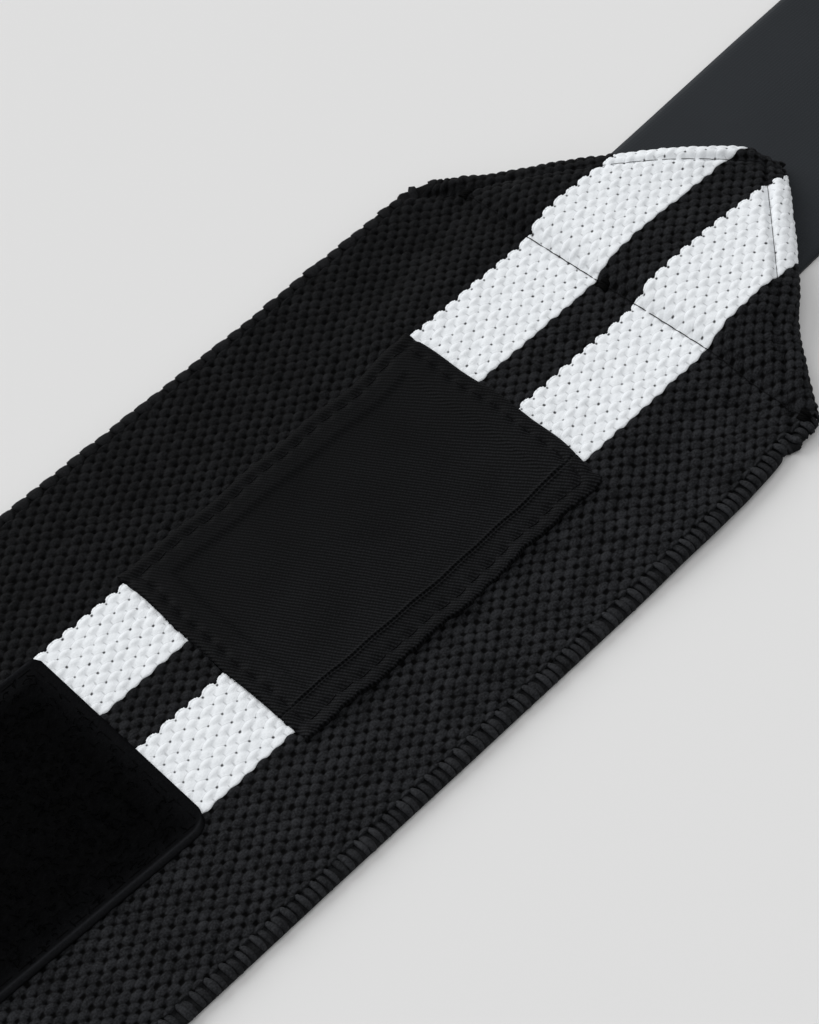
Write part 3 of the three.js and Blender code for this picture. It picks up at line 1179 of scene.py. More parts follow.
@dataclass
class ElasticBand:
    """The woven band with its folded point, far hem and selvedges."""

    form: StrapForm
    weave: Weave
    finishes: dict[Warp, YarnFinish]
    weft: YarnFinish
    stripe_ends: int = 14
    middle_ends: int = 8
    edge_ends: tuple[int, int] = (18, 21)
    stripe_shift: float = -1.28
    fine_from: float = -31.0
    fine_steps: int = 8
    coarse_steps: int = 3
    steps_across: int = 4
    inner_every: int = 16
    fold_wall: float = 1.15
    press_ramp: tuple[float, float] = (-3.0, 1.0)
    press_width: float = 3.0
    fold_radius_ends: float = 1.5
    fold_radius_middle: float = 2.9
    hem_radius: float = 1.6
    edge_trim: dict[Side, float] = field(default_factory=lambda: {Side.LEFT: 0.0, Side.RIGHT: 0.25})
    edge_loops: dict[Side, EdgeLoops] = field(
        default_factory=lambda: {
            Side.LEFT: EdgeLoops(1, 1.36, 0.2, 0.14, 0.78, 0.5),
            Side.RIGHT: EdgeLoops(2, 0.5, 0.6, 0.0, 1.0, 1.0),
        }
    )
    floor_gap: float = 0.03
    nudges: tuple[Nudge, ...] = (
        Nudge((139.6, -1.25), (-1.75, -0.85), 3.4),
        Nudge((137.85, -2.1), (-0.55, 0.0), 1.9),
        Nudge((135.6, -5.0), (-0.75, -0.75), 2.3),
        Nudge((100.85, 37.5), (1.95, -1.0), 3.2),
        Nudge((96.5, 37.6), (0.1, 0.5), 4.2),
        Nudge((115.0, -25.2), (-0.57, 0.57), 5.5),
        Nudge((105.5, -36.0), (0.6, -0.55), 2.8),
        Nudge((98.8, -38.0), (0.1, 0.24), 2.3, 5.0),
    )

    def groups(self) -> list[WarpGroup]:
        """The five groups of warp ends from right to left.

        Returns:
            The groups.
        """
        half = self.middle_ends // 2
        outer = half + self.stripe_ends
        right, left = self.edge_ends
        wave, scallop = Border.WAVE, Border.SCALLOP
        return [
            WarpGroup("band_edge_right", Warp.BLACK, range(-outer - right, -outer), None, wave),
            WarpGroup("band_stripe_right", Warp.WHITE, range(-outer, -half), wave, scallop),
            WarpGroup("band_middle", Warp.BLACK, range(-half, half), scallop, wave),
            WarpGroup("band_stripe_left", Warp.WHITE, range(half, outer), wave, scallop),
            WarpGroup("band_edge_left", Warp.BLACK, range(outer, outer + left), scallop, None),
        ]

    def folds(self) -> list[Fold]:
        """The two slanting folds of the point and the fold of the far hem.

        Returns:
            The folds.
        """
        form = self.form
        made = [Fold((form.far_end, 0.0), (1.0, 0.0), 1.0, self.hem_radius, self.hem_radius)]
        slope = 1.0 / ROOT_TWO
        for side in Side:
            corner = side.value * form.shoulder_width / 2
            reach = side.value * (corner - form.apex[1])
            made.append(Fold(
                (form.apex[0] - reach, corner), (-slope, -side.value * slope), reach,
                self.fold_radius_ends, self.fold_radius_middle, side,
            ))
        return made

    def stations(self) -> Array:
        """Places along the unfolded cloth, closer where the photograph looks.

        Returns:
            Places in millimetres, each a share of a repeat of the weave.
        """
        form, pitch = self.form, self.weave.along
        hem = form.far_end - form.hem_length
        first, middle, last = (round(x / pitch) for x in (hem, self.fine_from, form.apex[0]))
        coarse = np.arange(first * self.coarse_steps, middle * self.coarse_steps) / self.coarse_steps
        fine = np.arange(middle * self.fine_steps, last * self.fine_steps + 1) / self.fine_steps
        return np.concatenate([coarse, fine]) * pitch

    def base(self, u: Array, v: Array) -> Array:
        """Places of the band's face for unfolded cloth coordinates, without the weave.

        Args:
            u: Along the cloth.
            v: Across the cloth at full width.
        Returns:
            Places in the last axis.
        """
        across = self.form.across(u, v)
        place = np.stack([u, across, self.form.face(u, across)], -1)
        for fold in self.folds():
            place = fold.apply(self.form, (u, across), place)
        for nudge in self.nudges:
            place = nudge.apply(place)
        return place

    def normals(self, u: Array, v: Array, step: float = 0.05) -> Array:
        """Directions square to the band's face.

        Args:
            u: Along the cloth.
            v: Across the cloth at full width.
            step: Distance between the places that a slope is read from.
        Returns:
            Directions in the last axis.
        """
        along = self.base(u + step, v) - self.base(u - step, v)
        aside = self.base(u, v + step) - self.base(u, v - step)
        normal = np.cross(along, aside)
        return normal / np.maximum(np.linalg.norm(normal, axis=-1, keepdims=True), 1e-9)

    @property
    def cut_length(self) -> float:
        """Length of the cloth before its corners and its hem are folded under."""
        return self.form.apex[0] - self.form.far_end + self.form.hem_length

    def wall(self, u: Array, v: Array) -> Array:
        """Thickness of the cloth, pressed thin at the seam and where it lies folded under.

        Args:
            u: Along the cloth.
            v: Across the cloth at full width.
        Returns:
            Thicknesses.
        """
        form = self.form
        inside = np.minimum(*(form.fold_distance(u, v, side) for side in Side))
        outside = np.maximum(-inside, form.far_end - u)
        at_seam = bell(form.squared(u, v) - form.seam, self.press_width)
        pressed = np.maximum(ramp(outside, *self.press_ramp), at_seam)
        return form.wall + (self.fold_wall - form.wall) * pressed

    def build(self) -> list[bpy.types.Object]:
        """Makes the woven pieces and the selvedges.

        Returns:
            The pieces, which stand for the CAD band together.
        """
        materials = {warp: finish.material(self.weave) for warp, finish in self.finishes.items()}
        woven = [self.weave_group(group, materials[group.warp]) for group in self.groups()]
        weft = self.weft.material(self.weave)
        edges = {side: self.selvedge(side, weft) for side in Side}
        right, _, middle, stripe_left, left = woven
        for group, piece in zip(self.groups(), woven):
            if piece is not middle:
                self.declare(len(group.ends))
        return stand_for([*woven, *edges.values()], "elastic_band")

    def declare(self, ends: int) -> None:
        """Works out the flat size of a woven piece as a strip of cloth, and does nothing more with it.

        Args:
            ends: Its warp ends.
        """
        flat = (ends * self.weave.across * MM, self.cut_length * MM)

    def marks(self, group: WarpGroup) -> Array:
        """Places across a group, counted in warp ends and closer at its borders.

        Args:
            group: The group.
        Returns:
            The places, from right to left.
        """
        low, high, steps = group.ends.start, group.ends.stop, self.steps_across
        plain = np.arange((low - 0.5) * steps, (high + 0.5) * steps + 1) / steps
        fine = np.linspace(-0.5, 0.5, 2 * steps + 1)
        return np.unique(np.concatenate([plain, low + fine, high + fine]))

    def relief(self, turns: Array, ends: Array, group: WarpGroup) -> Array:
        """Relief of a group's knots, sunk past its borders.

        Args:
            turns: Place along the band, counted in repeats of the weave.
            ends: Place across it, counted in warp ends.
            group: The group.
        Returns:
            Heights above the cloth's face.
        """
        weave = self.weave
        height = weave.knots(turns, ends, self.finishes[group.warp].knots)
        borders = {Side.RIGHT: group.right_border, Side.LEFT: group.left_border}
        edges = {Side.RIGHT: group.ends.start, Side.LEFT: group.ends.stop}
        for side, border in borders.items():
            if border:
                outside = side.value * weave.past(turns, ends, edges[side], border)
                height = height - weave.sunk * ramp(outside, *weave.sunk_ramp)
        return height

    def weave_group(self, group: WarpGroup, material: bpy.types.Material) -> bpy.types.Object:
        """Makes one group of warp ends as a closed woven sheet.

        Args:
            group: Which warp ends.
            material: Their finish.
        Returns:
            The piece.
        """
        marks = self.marks(group)
        u, ends = np.meshgrid(self.stations(), marks, indexing="ij")
        v = self.stripe_shift + ends * self.weave.across
        place = self.base(u, v)
        normal = self.normals(u, v)
        turns, swayed = self.weave.swayed(u, ends)
        relief = self.relief(turns, swayed, group)
        outer = place + normal * relief[..., None]
        outer[..., 2] = np.maximum(outer[..., 2], self.floor_gap)
        picks = every(self.inner_every, len(marks))
        thick = self.wall(u, v)[:, picks, None]
        inner = place[:, picks] - normal[:, picks] * thick
        draft = MeshDraft()
        closed_sheet(draft, outer, inner, picks, turn=turns, end=swayed)
        return draft.to_object(group.name, material)

    def selvedge(self, side: Side, material: bpy.types.Material) -> bpy.types.Object:
        """Makes a long edge: a rounded core with the turned weft loops that bind it.

        Args:
            side: Which edge.
            material: The weft yarn.
        Returns:
            The piece.
        """
        edge = Selvedge(self, side, self.edge_trim[side], self.edge_loops[side])
        draft = MeshDraft()
        edge.core(draft)
        edge.loops(draft)
        return draft.to_object(f"band_selvedge_{side.name.lower()}", material)


@dataclass(frozen=True)
class Selvedge:
    """One bound long edge of the band: a core with the weft loops that lie on it."""

    band: ElasticBand
    side: Side
    trim: float
    bound: EdgeLoops
    profile_inset: tuple[float, ...] = (2.9, 2.3, 1.5, 0.8, 0.45, 0.2, 0.06, 0.0, 0.12, 0.5, 2.9)
    profile_depth: tuple[float, ...] = (0.8, 0.55, 0.5, 0.5, 0.56, 0.72, 0.95, 1.3, 1.6, 1.74, 1.74)
    # Painted shade on the core, at each inset of its profile.
    profile_pit: tuple[float, ...] = (0.5, 0.5, 0.55, 0.6, 0.65, 0.65, 0.65, 0.65, 0.6, 0.6, 0.6)
    loop_inset: tuple[float, ...] = (2.75, 2.2, 1.6, 1.05, 0.55, 0.18, 0.0)
    loop_rise: tuple[float, ...] = (-0.5, -0.2, -0.1, -0.1, -0.22, -0.52, -1.0)
    loop_slip: tuple[float, ...] = (-0.3, -0.16, -0.04, 0.03, 0.07, 0.1, 0.11)
    loop_width: tuple[float, ...] = (0.42, 0.72, 0.95, 1.04, 1.02, 0.9, 0.62)
    pairing: float = 0.12
    second_sink: float = 0.1
    # Painted shade on the second, lower loop of each pair.
    second_pit: float = 0.2
    unevenness: float = 0.13
    reach_out: float = 0.05
    size_spread: tuple[float, float] = (0.8, 1.15)
    thinning: float = 0.85
    thin_reach: float = 4.5
    sides: int = 7
    seed: int = 11
    lanes: int = 20
    floor_gap: float = 0.03

    def across(self, inset: Array) -> Array:
        """Place across the unfolded cloth at a distance from the edge."""
        return (self.band.form.band_width / 2 - self.trim - inset) * self.side.value

    def raised(self, u: Array, v: Array, height: Array, clear: float) -> Array:
        """Places at a height above the band's face, kept clear of the floor.

        Args:
            u: Along the cloth.
            v: Across the cloth at full width.
            height: Height above the face.
            clear: Least height above the floor.
        Returns:
            Places in the last axis.
        """
        place = self.band.base(u, v) + self.band.normals(u, v) * height[..., None]
        place[..., 2] = np.maximum(place[..., 2], clear)
        return place

    def near_fold(self, u: Array, v: Array) -> Array:
        """How near places are to the slanting fold, from 0 to 1."""
        form = self.band.form
        return bell(form.fold_distance(u, form.across(u, v), self.side), self.thin_reach)

    def core(self, draft: MeshDraft) -> None:
        """Adds the core that the loops lie on.

        Args:
            draft: Takes the core.
        """
        stations = self.band.stations()
        inset, depth = np.array(self.profile_inset), np.array(self.profile_depth)
        rows, columns = len(stations), len(inset)
        u, v = np.meshgrid(stations, self.across(inset), indexing="ij")
        deepest = depth.max() - self.thinning * self.near_fold(u, v)
        place = self.raised(u, v, -np.minimum(depth, deepest), self.floor_gap)
        # Painted shade on the core.
        pit = np.broadcast_to(self.profile_pit, u.shape)
        knot_top = {name: np.full(u.shape, value) for name, value in KNOT_TOP.items()}
        first = draft.add_points(place, pit=pit, **knot_top)
        around = np.arange(columns)
        starts = first + np.arange(rows - 1)[:, None] * columns
        beside = starts + (around + 1) % columns
        spot = starts + around
        faces = np.stack([spot, spot + columns, beside + columns, beside], -1).reshape(-1, 4)
        ends = [first + around, first + (rows - 1) * columns + around[::-1]]
        if self.side is Side.RIGHT:
            faces, ends = faces[:, ::-1], [end[::-1] for end in ends]
        corners = StripMap(rows, columns + 1, self.lanes).corners(*CORE_LANE)
        draft.add_faces(faces, corners[:, ::-1] if self.side is Side.RIGHT else corners)
        for end in ends:
            draft.add_faces(end[None])

    def loops(self, draft: MeshDraft) -> None:
        """Adds the weft loops, one or two to each repeat of the weave.

        Args:
            draft: Takes the loops.
        """
        weave, bound = self.band.weave, self.bound
        stations = self.band.stations()
        rng = np.random.default_rng(self.seed + self.side.value)
        u = np.arange(stations[0] + weave.along, stations[-1] - weave.along, weave.along / bound.count)
        second = np.arange(len(u)) % bound.count
        u = u - self.pairing * second + rng.normal(0.0, self.unevenness, len(u))
        strays = rng.uniform(-self.reach_out, self.unevenness, (len(u), 1))
        inset = bound.reach * np.array(self.loop_inset) + strays
        along = u[:, None] + np.array(self.loop_slip)
        rise = np.array(self.loop_rise) - bound.sink - self.second_sink * second[:, None]
        v = self.across(inset)
        lines = self.raised(along, v, rise, bound.radius * bound.flat + self.floor_gap)
        sizes = bound.radius * np.array(self.loop_width) * rng.uniform(*self.size_spread, (len(u), 1))
        sizes = sizes * (1.0 - (1.0 - bound.at_fold) * self.near_fold(along, v))
        up = self.band.normals(along, v)[:, 3]
        # Painted shade on the second loop of each pair.
        pit = self.second_pit * second
        tubes(draft, lines, sizes, up, self.sides, bound.flat, pit=pit, **KNOT_TOP)


# Tapes and label


@dataclass
class HookTab:
    """A length of hook tape that lies hooks down under the point."""

    form: StrapForm
    finish: TapeFinish
    hook_finish: TapeFinish
    corner: float = 6.0
    thickness: float = 0.62
    step: float = 1.2
    edge_round: float = 0.35
    hook_pitch: float = 1.9
    hook_radius: float = 0.2
    hook_inset: float = 1.6
    hook_sides: int = 4
    hook_overlap: float = 0.05
    hook_lean: tuple[float, ...] = (0.0, 0.0, 0.12, 0.4, 0.62)
    hook_stem: tuple[float, float] = (1.0, 0.6)
    hook_bend: Point = (0.22, 0.16, 0.28)
    hook_width: tuple[float, ...] = (0.9, 0.7, 0.65, 0.6, 0.4)
    wave_height: float = 0.10
    wave_lengths: tuple[tuple[float, ...], ...] = ((61.0, 37.0), (45.0, 29.0))
    wave_start: float = 40.0
    seed: int = 3
    edge_width: float = 0.5
    edge_crowding: float = 0.25
    inner_every: int = 2

    @property
    def length(self) -> float:
        """Length of the tape, whose corner ends the strap.

        Returns:
            The length.
        """
        form = self.form
        corner_reach = self.corner + (form.tab_width / 2 - self.corner) * math.sin(form.tab_turn)
        return self.corner + (form.tab_end - form.tab_start - corner_reach) / math.cos(form.tab_turn)

    def laid(self, a: Array, b: Array, z: Array) -> Array:
        """Places from coordinates along and across the tape, measured from its covered end."""
        form = self.form
        return turned((form.tab_start, form.tab_offset), form.tab_turn, a, b, z)

    def half_width(self, a: Array) -> Array:
        """Half the tape's width, with rounded corners at its free end.

        Args:
            a: Along the tape.
        Returns:
            Half widths.
        """
        past = np.clip((a - self.length + self.corner) / self.corner, 0.0, 1.0)
        drop = self.corner * (1.0 - np.sqrt(1.0 - past * past))
        return self.form.tab_width / 2 - drop

    def face(self, a: Array, b: Array) -> Array:
        """Height of the tape's smooth face.

        Args:
            a: Along the tape.
            b: Across the tape.
        Returns:
            Heights above the floor.
        """
        along, across = self.wave_lengths
        soft = waves(a, along, self.seed) * waves(b + self.wave_start, across, self.seed + 1)
        inside = np.minimum(self.half_width(a) - np.abs(b), a)
        rounding = self.edge_round * bell(inside, self.edge_width)
        return self.form.tab_top + self.wave_height * soft - rounding

    def build(self) -> list[bpy.types.Object]:
        """Makes the tape and its field of hooks.

        Returns:
            The pieces, which stand for the CAD tab together.
        """
        a = np.linspace(0.0, self.length, round(self.length / self.step))
        flat = np.linspace(-1.0, 1.0, round(self.form.tab_width / self.step))
        share = self.edge_crowding * np.sin(flat * math.pi / 2) + (1.0 - self.edge_crowding) * flat
        grid_a = np.broadcast_to(a[:, None], (len(a), len(share)))
        grid_b = self.half_width(a)[:, None] * share
        outer = self.laid(grid_a, grid_b, self.face(grid_a, grid_b))
        picks = every(self.inner_every, len(share))
        inner = outer[:, picks] - np.array([0.0, 0.0, self.thickness])
        draft = MeshDraft()
        closed_sheet(draft, outer, inner, picks)
        tape = draft.to_object("hook_tape", self.finish.material())
        pieces = [tape, self.hooks()]
        flat = (self.form.tab_width * MM, self.length * MM)
        return stand_for(pieces, "hook_tab")

    def hooks(self) -> bpy.types.Object:
        """Makes the field of small bent hooks under the tape.

        Returns:
            The piece.
        """
        reach = self.form.tab_width / 2 - self.hook_inset
        a = np.arange(self.hook_inset, self.length - self.hook_inset, self.hook_pitch)
        b = np.arange(-reach, reach, self.hook_pitch)
        spot_a, spot_b = (axis.ravel() for axis in np.meshgrid(a, b))
        kept = np.abs(spot_b) < self.half_width(spot_a) - self.hook_inset / 2
        spot_a, spot_b = spot_a[kept], spot_b[kept]
        top = self.form.tab_top - self.thickness + self.hook_overlap
        height = np.array([*(top * share for share in self.hook_stem), *self.hook_bend])
        shape = (len(spot_a), len(height))
        line_a = spot_a[:, None] + np.array(self.hook_lean)
        line_b = np.broadcast_to(spot_b[:, None], shape)
        lines = self.laid(line_a, line_b, np.broadcast_to(height, shape))
        draft = MeshDraft()
        tubes(draft, lines, self.hook_radius * np.array(self.hook_width), SIDEWAYS, self.hook_sides)
        return draft.to_object("hook_field", self.hook_finish.material())


@dataclass
class LoopPatch:
    """A length of fuzzy loop tape sewn on the band."""

    form: StrapForm
    pile: PileFinish
    length: float = 120.0
    width: float = 36.8
    end: tuple[float, float] = (7.65, -2.35)
    end_slant: float = 0.023
    turn: float = math.radians(-2.1)
    corners: dict[Side, float] = field(default_factory=lambda: {Side.LEFT: 1.2, Side.RIGHT: 3.2})
    backing: float = 0.75
    pile_height: float = 1.75
    border: float = 1.6
    border_ramp: float = 2.4
    cord_inset: float = 0.5
    cord_width: float = 0.34
    cord_rise: float = 0.28
    cord_start: float = 2.0
    cord_glow: float = 1.3
    edge_drop: float = 0.45
    edge_width: float = 0.4
    lump_height: float = 0.10
    lump_lengths: tuple[tuple[float, ...], ...] = ((3.1, 4.7, 2.2), (2.7, 3.9))
    lump_slant: tuple[float, float] = (0.3, 0.2)
    lump_seed: int = 8
    grain: float = 0.08
    fade: tuple[float, float] = (0.8, 5.5)
    fade_share: float = 0.22
    step: float = 0.55
    fine_reach: float = 1.3
    fine_step: float = 0.13
    inner_every: int = 8
    inner_lift: float = 0.1
    fibre_count: int = 2800
    fibre_radius: float = 0.07
    fibre_length: float = 1.15
    fibre_spread: tuple[float, float] = (0.6, 1.3)
    fibre_rise: tuple[float, float] = (0.15, 0.45)
    fibre_sway: float = 1.5
    fibre_sides: int = 3
    fibre_share: tuple[float, ...] = (-0.5, -0.3, 0.0, 0.3, 0.5)
    fibre_arch: tuple[float, ...] = (-0.3, 0.6, 1.0, 0.6, -0.3)
    fibre_bow: tuple[float, ...] = (0.0, 0.12, 0.2, 0.12, 0.0)
    seed: int = 23

    def laid(self, a: Array, b: Array, z: Array) -> Array:
        """Places from coordinates along and across the tape, measured from its near end."""
        return turned(self.end, self.turn, a - self.end_slant * b, b, z)

    def reach(self, a: Array, b: Array) -> Array:
        """Half the tape's width on the side of b, with rounded corners at its near end.

        Args:
            a: Along the tape.
            b: Across the tape.
        Returns:
            Half widths.
        """
        corner = np.where(b < 0.0, self.corners[Side.RIGHT], self.corners[Side.LEFT])
        past = np.clip((a + corner) / corner, 0.0, 1.0)
        return self.width / 2 - corner * (1.0 - np.sqrt(1.0 - past * past))

    def across(self, a: Array, b: Array) -> Array:
        """Distance from the tape's nearest long edge."""
        return self.reach(a, b) - np.abs(b)

    def inset(self, a: Array, b: Array) -> Array:
        """Distance from the tape's nearest edge."""
        return np.minimum(np.minimum(-a, a + self.length), self.across(a, b))

    def piled(self, a: Array, b: Array) -> Array:
        """Share of the full pile, from 0 on the border to 1 inside it."""
        return ramp(self.inset(a, b), self.border, self.border + self.border_ramp)

    def cord(self, a: Array, b: Array, width: float) -> Array:
        """Share of the cord along each long edge, which begins behind the near end."""
        return bell(self.across(a, b) - self.cord_inset, width) * ramp(-a, 0.0, self.cord_start)

    def heights(self, a: Array, b: Array) -> Array:
        """Height of the tape above the floor.

        Args:
            a: Along the tape.
            b: Across the tape.
        Returns:
            Heights above the floor.
        """
        first, second = self.lump_slant
        along, across = self.lump_lengths
        lumps = waves(a + first * b, along, self.lump_seed)
        lumps = lumps * waves(b - second * a, across, self.lump_seed + 1)
        edge = self.cord_rise * self.cord(a, b, self.cord_width)
        edge = edge - self.edge_drop * bell(self.inset(a, b), self.edge_width)
        pile = self.pile_height - self.backing + self.lump_height * lumps
        return self.form.wall + self.backing + edge + self.piled(a, b) * pile

    def woven_edge(self, a: Array, b: Array) -> Array:
        """Share of the paler woven edge: full on the cords, faint where the pile begins."""
        cord = self.cord(a, b, self.cord_glow * self.cord_width)
        return np.maximum(cord, self.fade_share * (1.0 - ramp(self.inset(a, b), *self.fade)))

    def build(self) -> list[bpy.types.Object]:
        """Makes the tape with its pile, and the loose loops that stand in it.

        Returns:
            The pieces, which stand for the CAD patch together.
        """
        half = self.width / 2
        a = np.linspace(-self.length, 0.0, round(self.length / self.step))
        close = np.arange(0.0, self.fine_reach, self.fine_step)
        plain = np.linspace(-half, half, round(self.width / self.step))
        share = np.unique(np.round(np.concatenate([plain, half - close, close - half]) / half, 4))
        grid_a, grid_b = np.meshgrid(a, share * half, indexing="ij")
        grid_b = grid_b / half * self.reach(grid_a, grid_b)
        top = self.heights(grid_a, grid_b)
        grain = np.random.default_rng(self.seed).normal(0.0, self.grain, top.shape)
        outer = self.laid(grid_a, grid_b, top + grain * self.piled(grid_a, grid_b))
        picks = every(self.inner_every, len(share))
        inner = outer[:, picks]
        inner[..., 2] = self.form.wall + self.inner_lift
        draft = MeshDraft()
        closed_sheet(draft, outer, inner, picks, edge=self.woven_edge(grid_a, grid_b))
        tape = draft.to_object("loop_tape", self.pile.material())
        pieces = [tape, self.loops()]
        flat = (self.width * MM, self.length * MM)
        return stand_for(pieces, "loop_patch")

    def loops(self) -> bpy.types.Object:
        """Makes the loops of yarn that stand in the pile.

        Returns:
            The piece.
        """
        rng = np.random.default_rng(self.seed + 1)
        column = (self.fibre_count, 1)
        a = rng.uniform(-self.length + self.border, -self.border, column)
        reach = self.width / 2 - self.border
        b = rng.uniform(-reach, reach, column)
        heading = rng.uniform(0.0, math.tau, column)
        length = self.fibre_length * rng.uniform(*self.fibre_spread, column)
        rise = rng.uniform(*self.fibre_rise, column)
        along = length * np.array(self.fibre_share)
        aside = length * np.array(self.fibre_bow) * rng.uniform(-self.fibre_sway, self.fibre_sway, column)
        line_a = a + np.cos(heading) * along - np.sin(heading) * aside
        line_b = b + np.sin(heading) * along + np.cos(heading) * aside
        lines = self.laid(line_a, line_b, self.heights(a, b) + rise * np.array(self.fibre_arch))
        draft = MeshDraft()
        tubes(draft, lines, self.fibre_radius, UPRIGHT, self.fibre_sides, edge=0.0)
        return draft.to_object("loop_pile", self.pile.material())


@dataclass
class WovenLabel:
    """A satin label with folded edges, sewn all round to the band."""

    form: StrapForm
    finish: SatinFinish
    corners: tuple[tuple[float, float], ...] = ((23.2, -20.8), (78.8, -20.95), (78.2, 16.6), (23.5, 17.1))
    size: tuple[float, float] = (55.0, 37.0)
    step: float = 0.36
    cloth: float = 0.42
    hem: float = 5.2
    hem_rise: float = 0.28
    stitch_inset: float = 1.9
    stitch_pitch: float = 2.9
    stitch_dent: float = 0.4
    stitch_width: float = 0.55
    hole_mix: tuple[float, float] = (0.55, 0.45)
    hem_ramp: float = 0.5
    flare: tuple[float, float] = (-0.9, -1.5)
    flare_from: float = 43.0
    ridge_insets: tuple[float, float] = (4.55, 5.15)
    ridge_rise: float = 0.2
    ridge_width: float = 0.15
    ridge_ends: tuple[float, float] = (2.0, 4.5)
    groove: float = 0.2
    groove_share: float = 0.9
    edge_curl: float = 0.45
    curl_width: float = 1.2
    curl_mix: tuple[float, float] = (0.6, 0.4)
    curl_pressed: float = 0.8
    rim: float = 0.16
    rim_width: float = 0.15
    curl_lengths: tuple[float, ...] = (17.0, 9.0)
    soft: float = 0.05
    soft_lengths: tuple[tuple[float, ...], ...] = ((23.0, 14.0), (19.0, 12.0))
    rounding: float = 0.3
    rounding_width: float = 0.35
    push: float = 6.0
    wander: float = 0.22
    hollow: float = 0.7
    fray: float = 0.1
    fray_width: float = 0.6
    fray_lengths: tuple[float, ...] = (3.7, 2.3, 1.7)
    right_lengths: tuple[float, ...] = (41.0, 16.0, 8.0)
    left_lengths: tuple[float, ...] = (37.0, 13.0)
    near_lengths: tuple[float, ...] = (31.0, 11.0)
    far_lengths: tuple[float, ...] = (29.0, 12.0)
    seed: int = 31
    lie: float = 0.12
    fine_edge: tuple[float, float] = (1.0, 0.1)
    fine_ridge: tuple[float, float] = (0.5, 0.07)
    inner_every: int = 6
    inner_lift: float = 0.02

    def insets(self, a: Array, b: Array) -> tuple[Array, Array, Array, Array]:
        """Distances from the near, far, right and left edge."""
        return a, self.size[0] - a, b, self.size[1] - b

    def heights(self, a: Array, b: Array) -> Array:
        """Height of the label's face above the band.

        Args:
            a: Along the label.
            b: Across the label.
        Returns:
            Heights above the band.
        """
        near, far, right, left = self.insets(a, b)
        edge = np.minimum(np.minimum(near, far), np.minimum(right, left))
        hem = 1.0 - ramp(edge, self.hem - self.hem_ramp, self.hem + self.hem_ramp)
        height = self.cloth + self.hem_rise * hem
        mean, depth = self.hole_mix
        along_x, along_y = (mean + depth * np.cos(math.tau * place / self.stitch_pitch) for place in (a, b))
        for inset, holes in ((near, along_y), (far, along_y), (right, along_x), (left, along_x)):
            dent = bell(inset - self.stitch_inset, self.stitch_width)
            height = height - self.stitch_dent * dent * holes
        for inset in self.ridge_insets:
            ends = ramp(np.minimum(near, far), *self.ridge_ends)
            height = height + self.ridge_rise * bell(right - inset, self.ridge_width) * ends
        middle = 0.5 * sum(self.ridge_insets)
        height = height - self.groove * bell(right - middle, self.groove_share * self.ridge_width)
        pressed = 1.0 - self.curl_pressed * ramp(a, self.flare_from, self.size[0])
        mean, depth = self.curl_mix
        uneven = mean + depth * waves(a, self.curl_lengths, self.seed)
        curl = self.edge_curl * pressed * uneven * bell(right, self.curl_width)
        curl = curl + self.rim * bell(right - self.rim_width, self.rim_width)
        along, across = self.soft_lengths
        soft = self.soft * waves(a, along, self.seed + 1) * waves(b, across, self.seed + 2)
        return height + curl + soft - self.rounding * bell(edge, self.rounding_width)

    def surface(self, a: Array, b: Array) -> Array:
        """Places of the label's face.

        Args:
            a: Along the label.
            b: Across the label.
        Returns:
            Places in the last axis.
        """
        length, width = self.size
        along, across = (a / length)[..., None], (b / width)[..., None]
        near_right, far_right, far_left, near_left = (np.array(corner) for corner in self.corners)
        right_side = near_right + along * (far_right - near_right)
        left_side = near_left + along * (far_left - near_left)
        spot = right_side + across * (left_side - right_side)
        push, wander = self.push, self.wander
        hollow = self.hollow * np.sin(math.pi * a / length)
        right = bell(b, push) * (wander * waves(a, self.right_lengths, self.seed + 3) - hollow)
        left = bell(width - b, push) * wander * waves(a, self.left_lengths, self.seed + 4)
        near = bell(a, push) * wander * waves(b, self.near_lengths, self.seed + 5)
        far = bell(length - a, push) * wander * waves(b, self.far_lengths, self.seed + 6)
        fray = self.fray * waves(a, self.fray_lengths, self.seed + 7)
        right = right + bell(b, self.fray_width) * fray
        flare = bell(b, push) * ramp(a, self.flare_from, length)
        x = spot[..., 0] + near + far + self.flare[0] * flare
        y = spot[..., 1] + left + right + self.flare[1] * flare
        return np.stack([x, y, self.form.face(x, y) + self.lie + self.heights(a, b)], -1)

    def build(self) -> list[bpy.types.Object]:
        """Makes the label.

        Returns:
            The piece, which stands for the CAD label.
        """
        length, width = self.size
        a = np.linspace(0.0, length, round(length / self.step))
        b = np.linspace(0.0, width, round(width / self.step))
        low, high = self.ridge_insets
        reach, step = self.fine_ridge
        close = [np.arange(0.0, *self.fine_edge), np.arange(low - reach, high + reach, step)]
        b = np.unique(np.round(np.concatenate([b, *close]), 3))
        outer = self.surface(*np.meshgrid(a, b, indexing="ij"))
        picks = every(self.inner_every, len(b))
        inner = outer[:, picks]
        inner[..., 2] = self.form.face(inner[..., 0], inner[..., 1]) + self.inner_lift
        draft = MeshDraft()
        closed_sheet(draft, outer, inner, picks)
        piece = draft.to_object("label", self.finish.material())
        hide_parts("woven_label")
        return [piece]


# Stitching


@dataclass(frozen=True)
class StitchRow:
    """A straight row of stitches on a face."""

    start: tuple[float, float]
    end: tuple[float, float]
    place: Callable[[Array, Array], Array]
    radius: float
    pitch: float = 2.9
    share: float = 0.95
    sink: float = 0.4
    stand: float = 0.06
    sides: int = 6
    flat: float = 0.8

    def lines(self) -> Array:
        """Thread lines, stitch by point.

        Returns:
            Places in the last axis.
        """
        start, end = np.array(self.start), np.array(self.end)
        count = max(1, round(np.linalg.norm(end - start) / self.pitch))
        middles = (np.arange(count) + 0.5) / count
        span = np.linspace(-0.5, 0.5, 7) * self.share / count
        spots = start + (middles[:, None] + span)[..., None] * (end - start)
        lines = self.place(spots[..., 0], spots[..., 1])
        rise = np.array([-self.sink, 0.5 * self.stand, *[self.stand] * 3, 0.5 * self.stand, -self.sink])
        lines[..., 2] += rise
        return lines


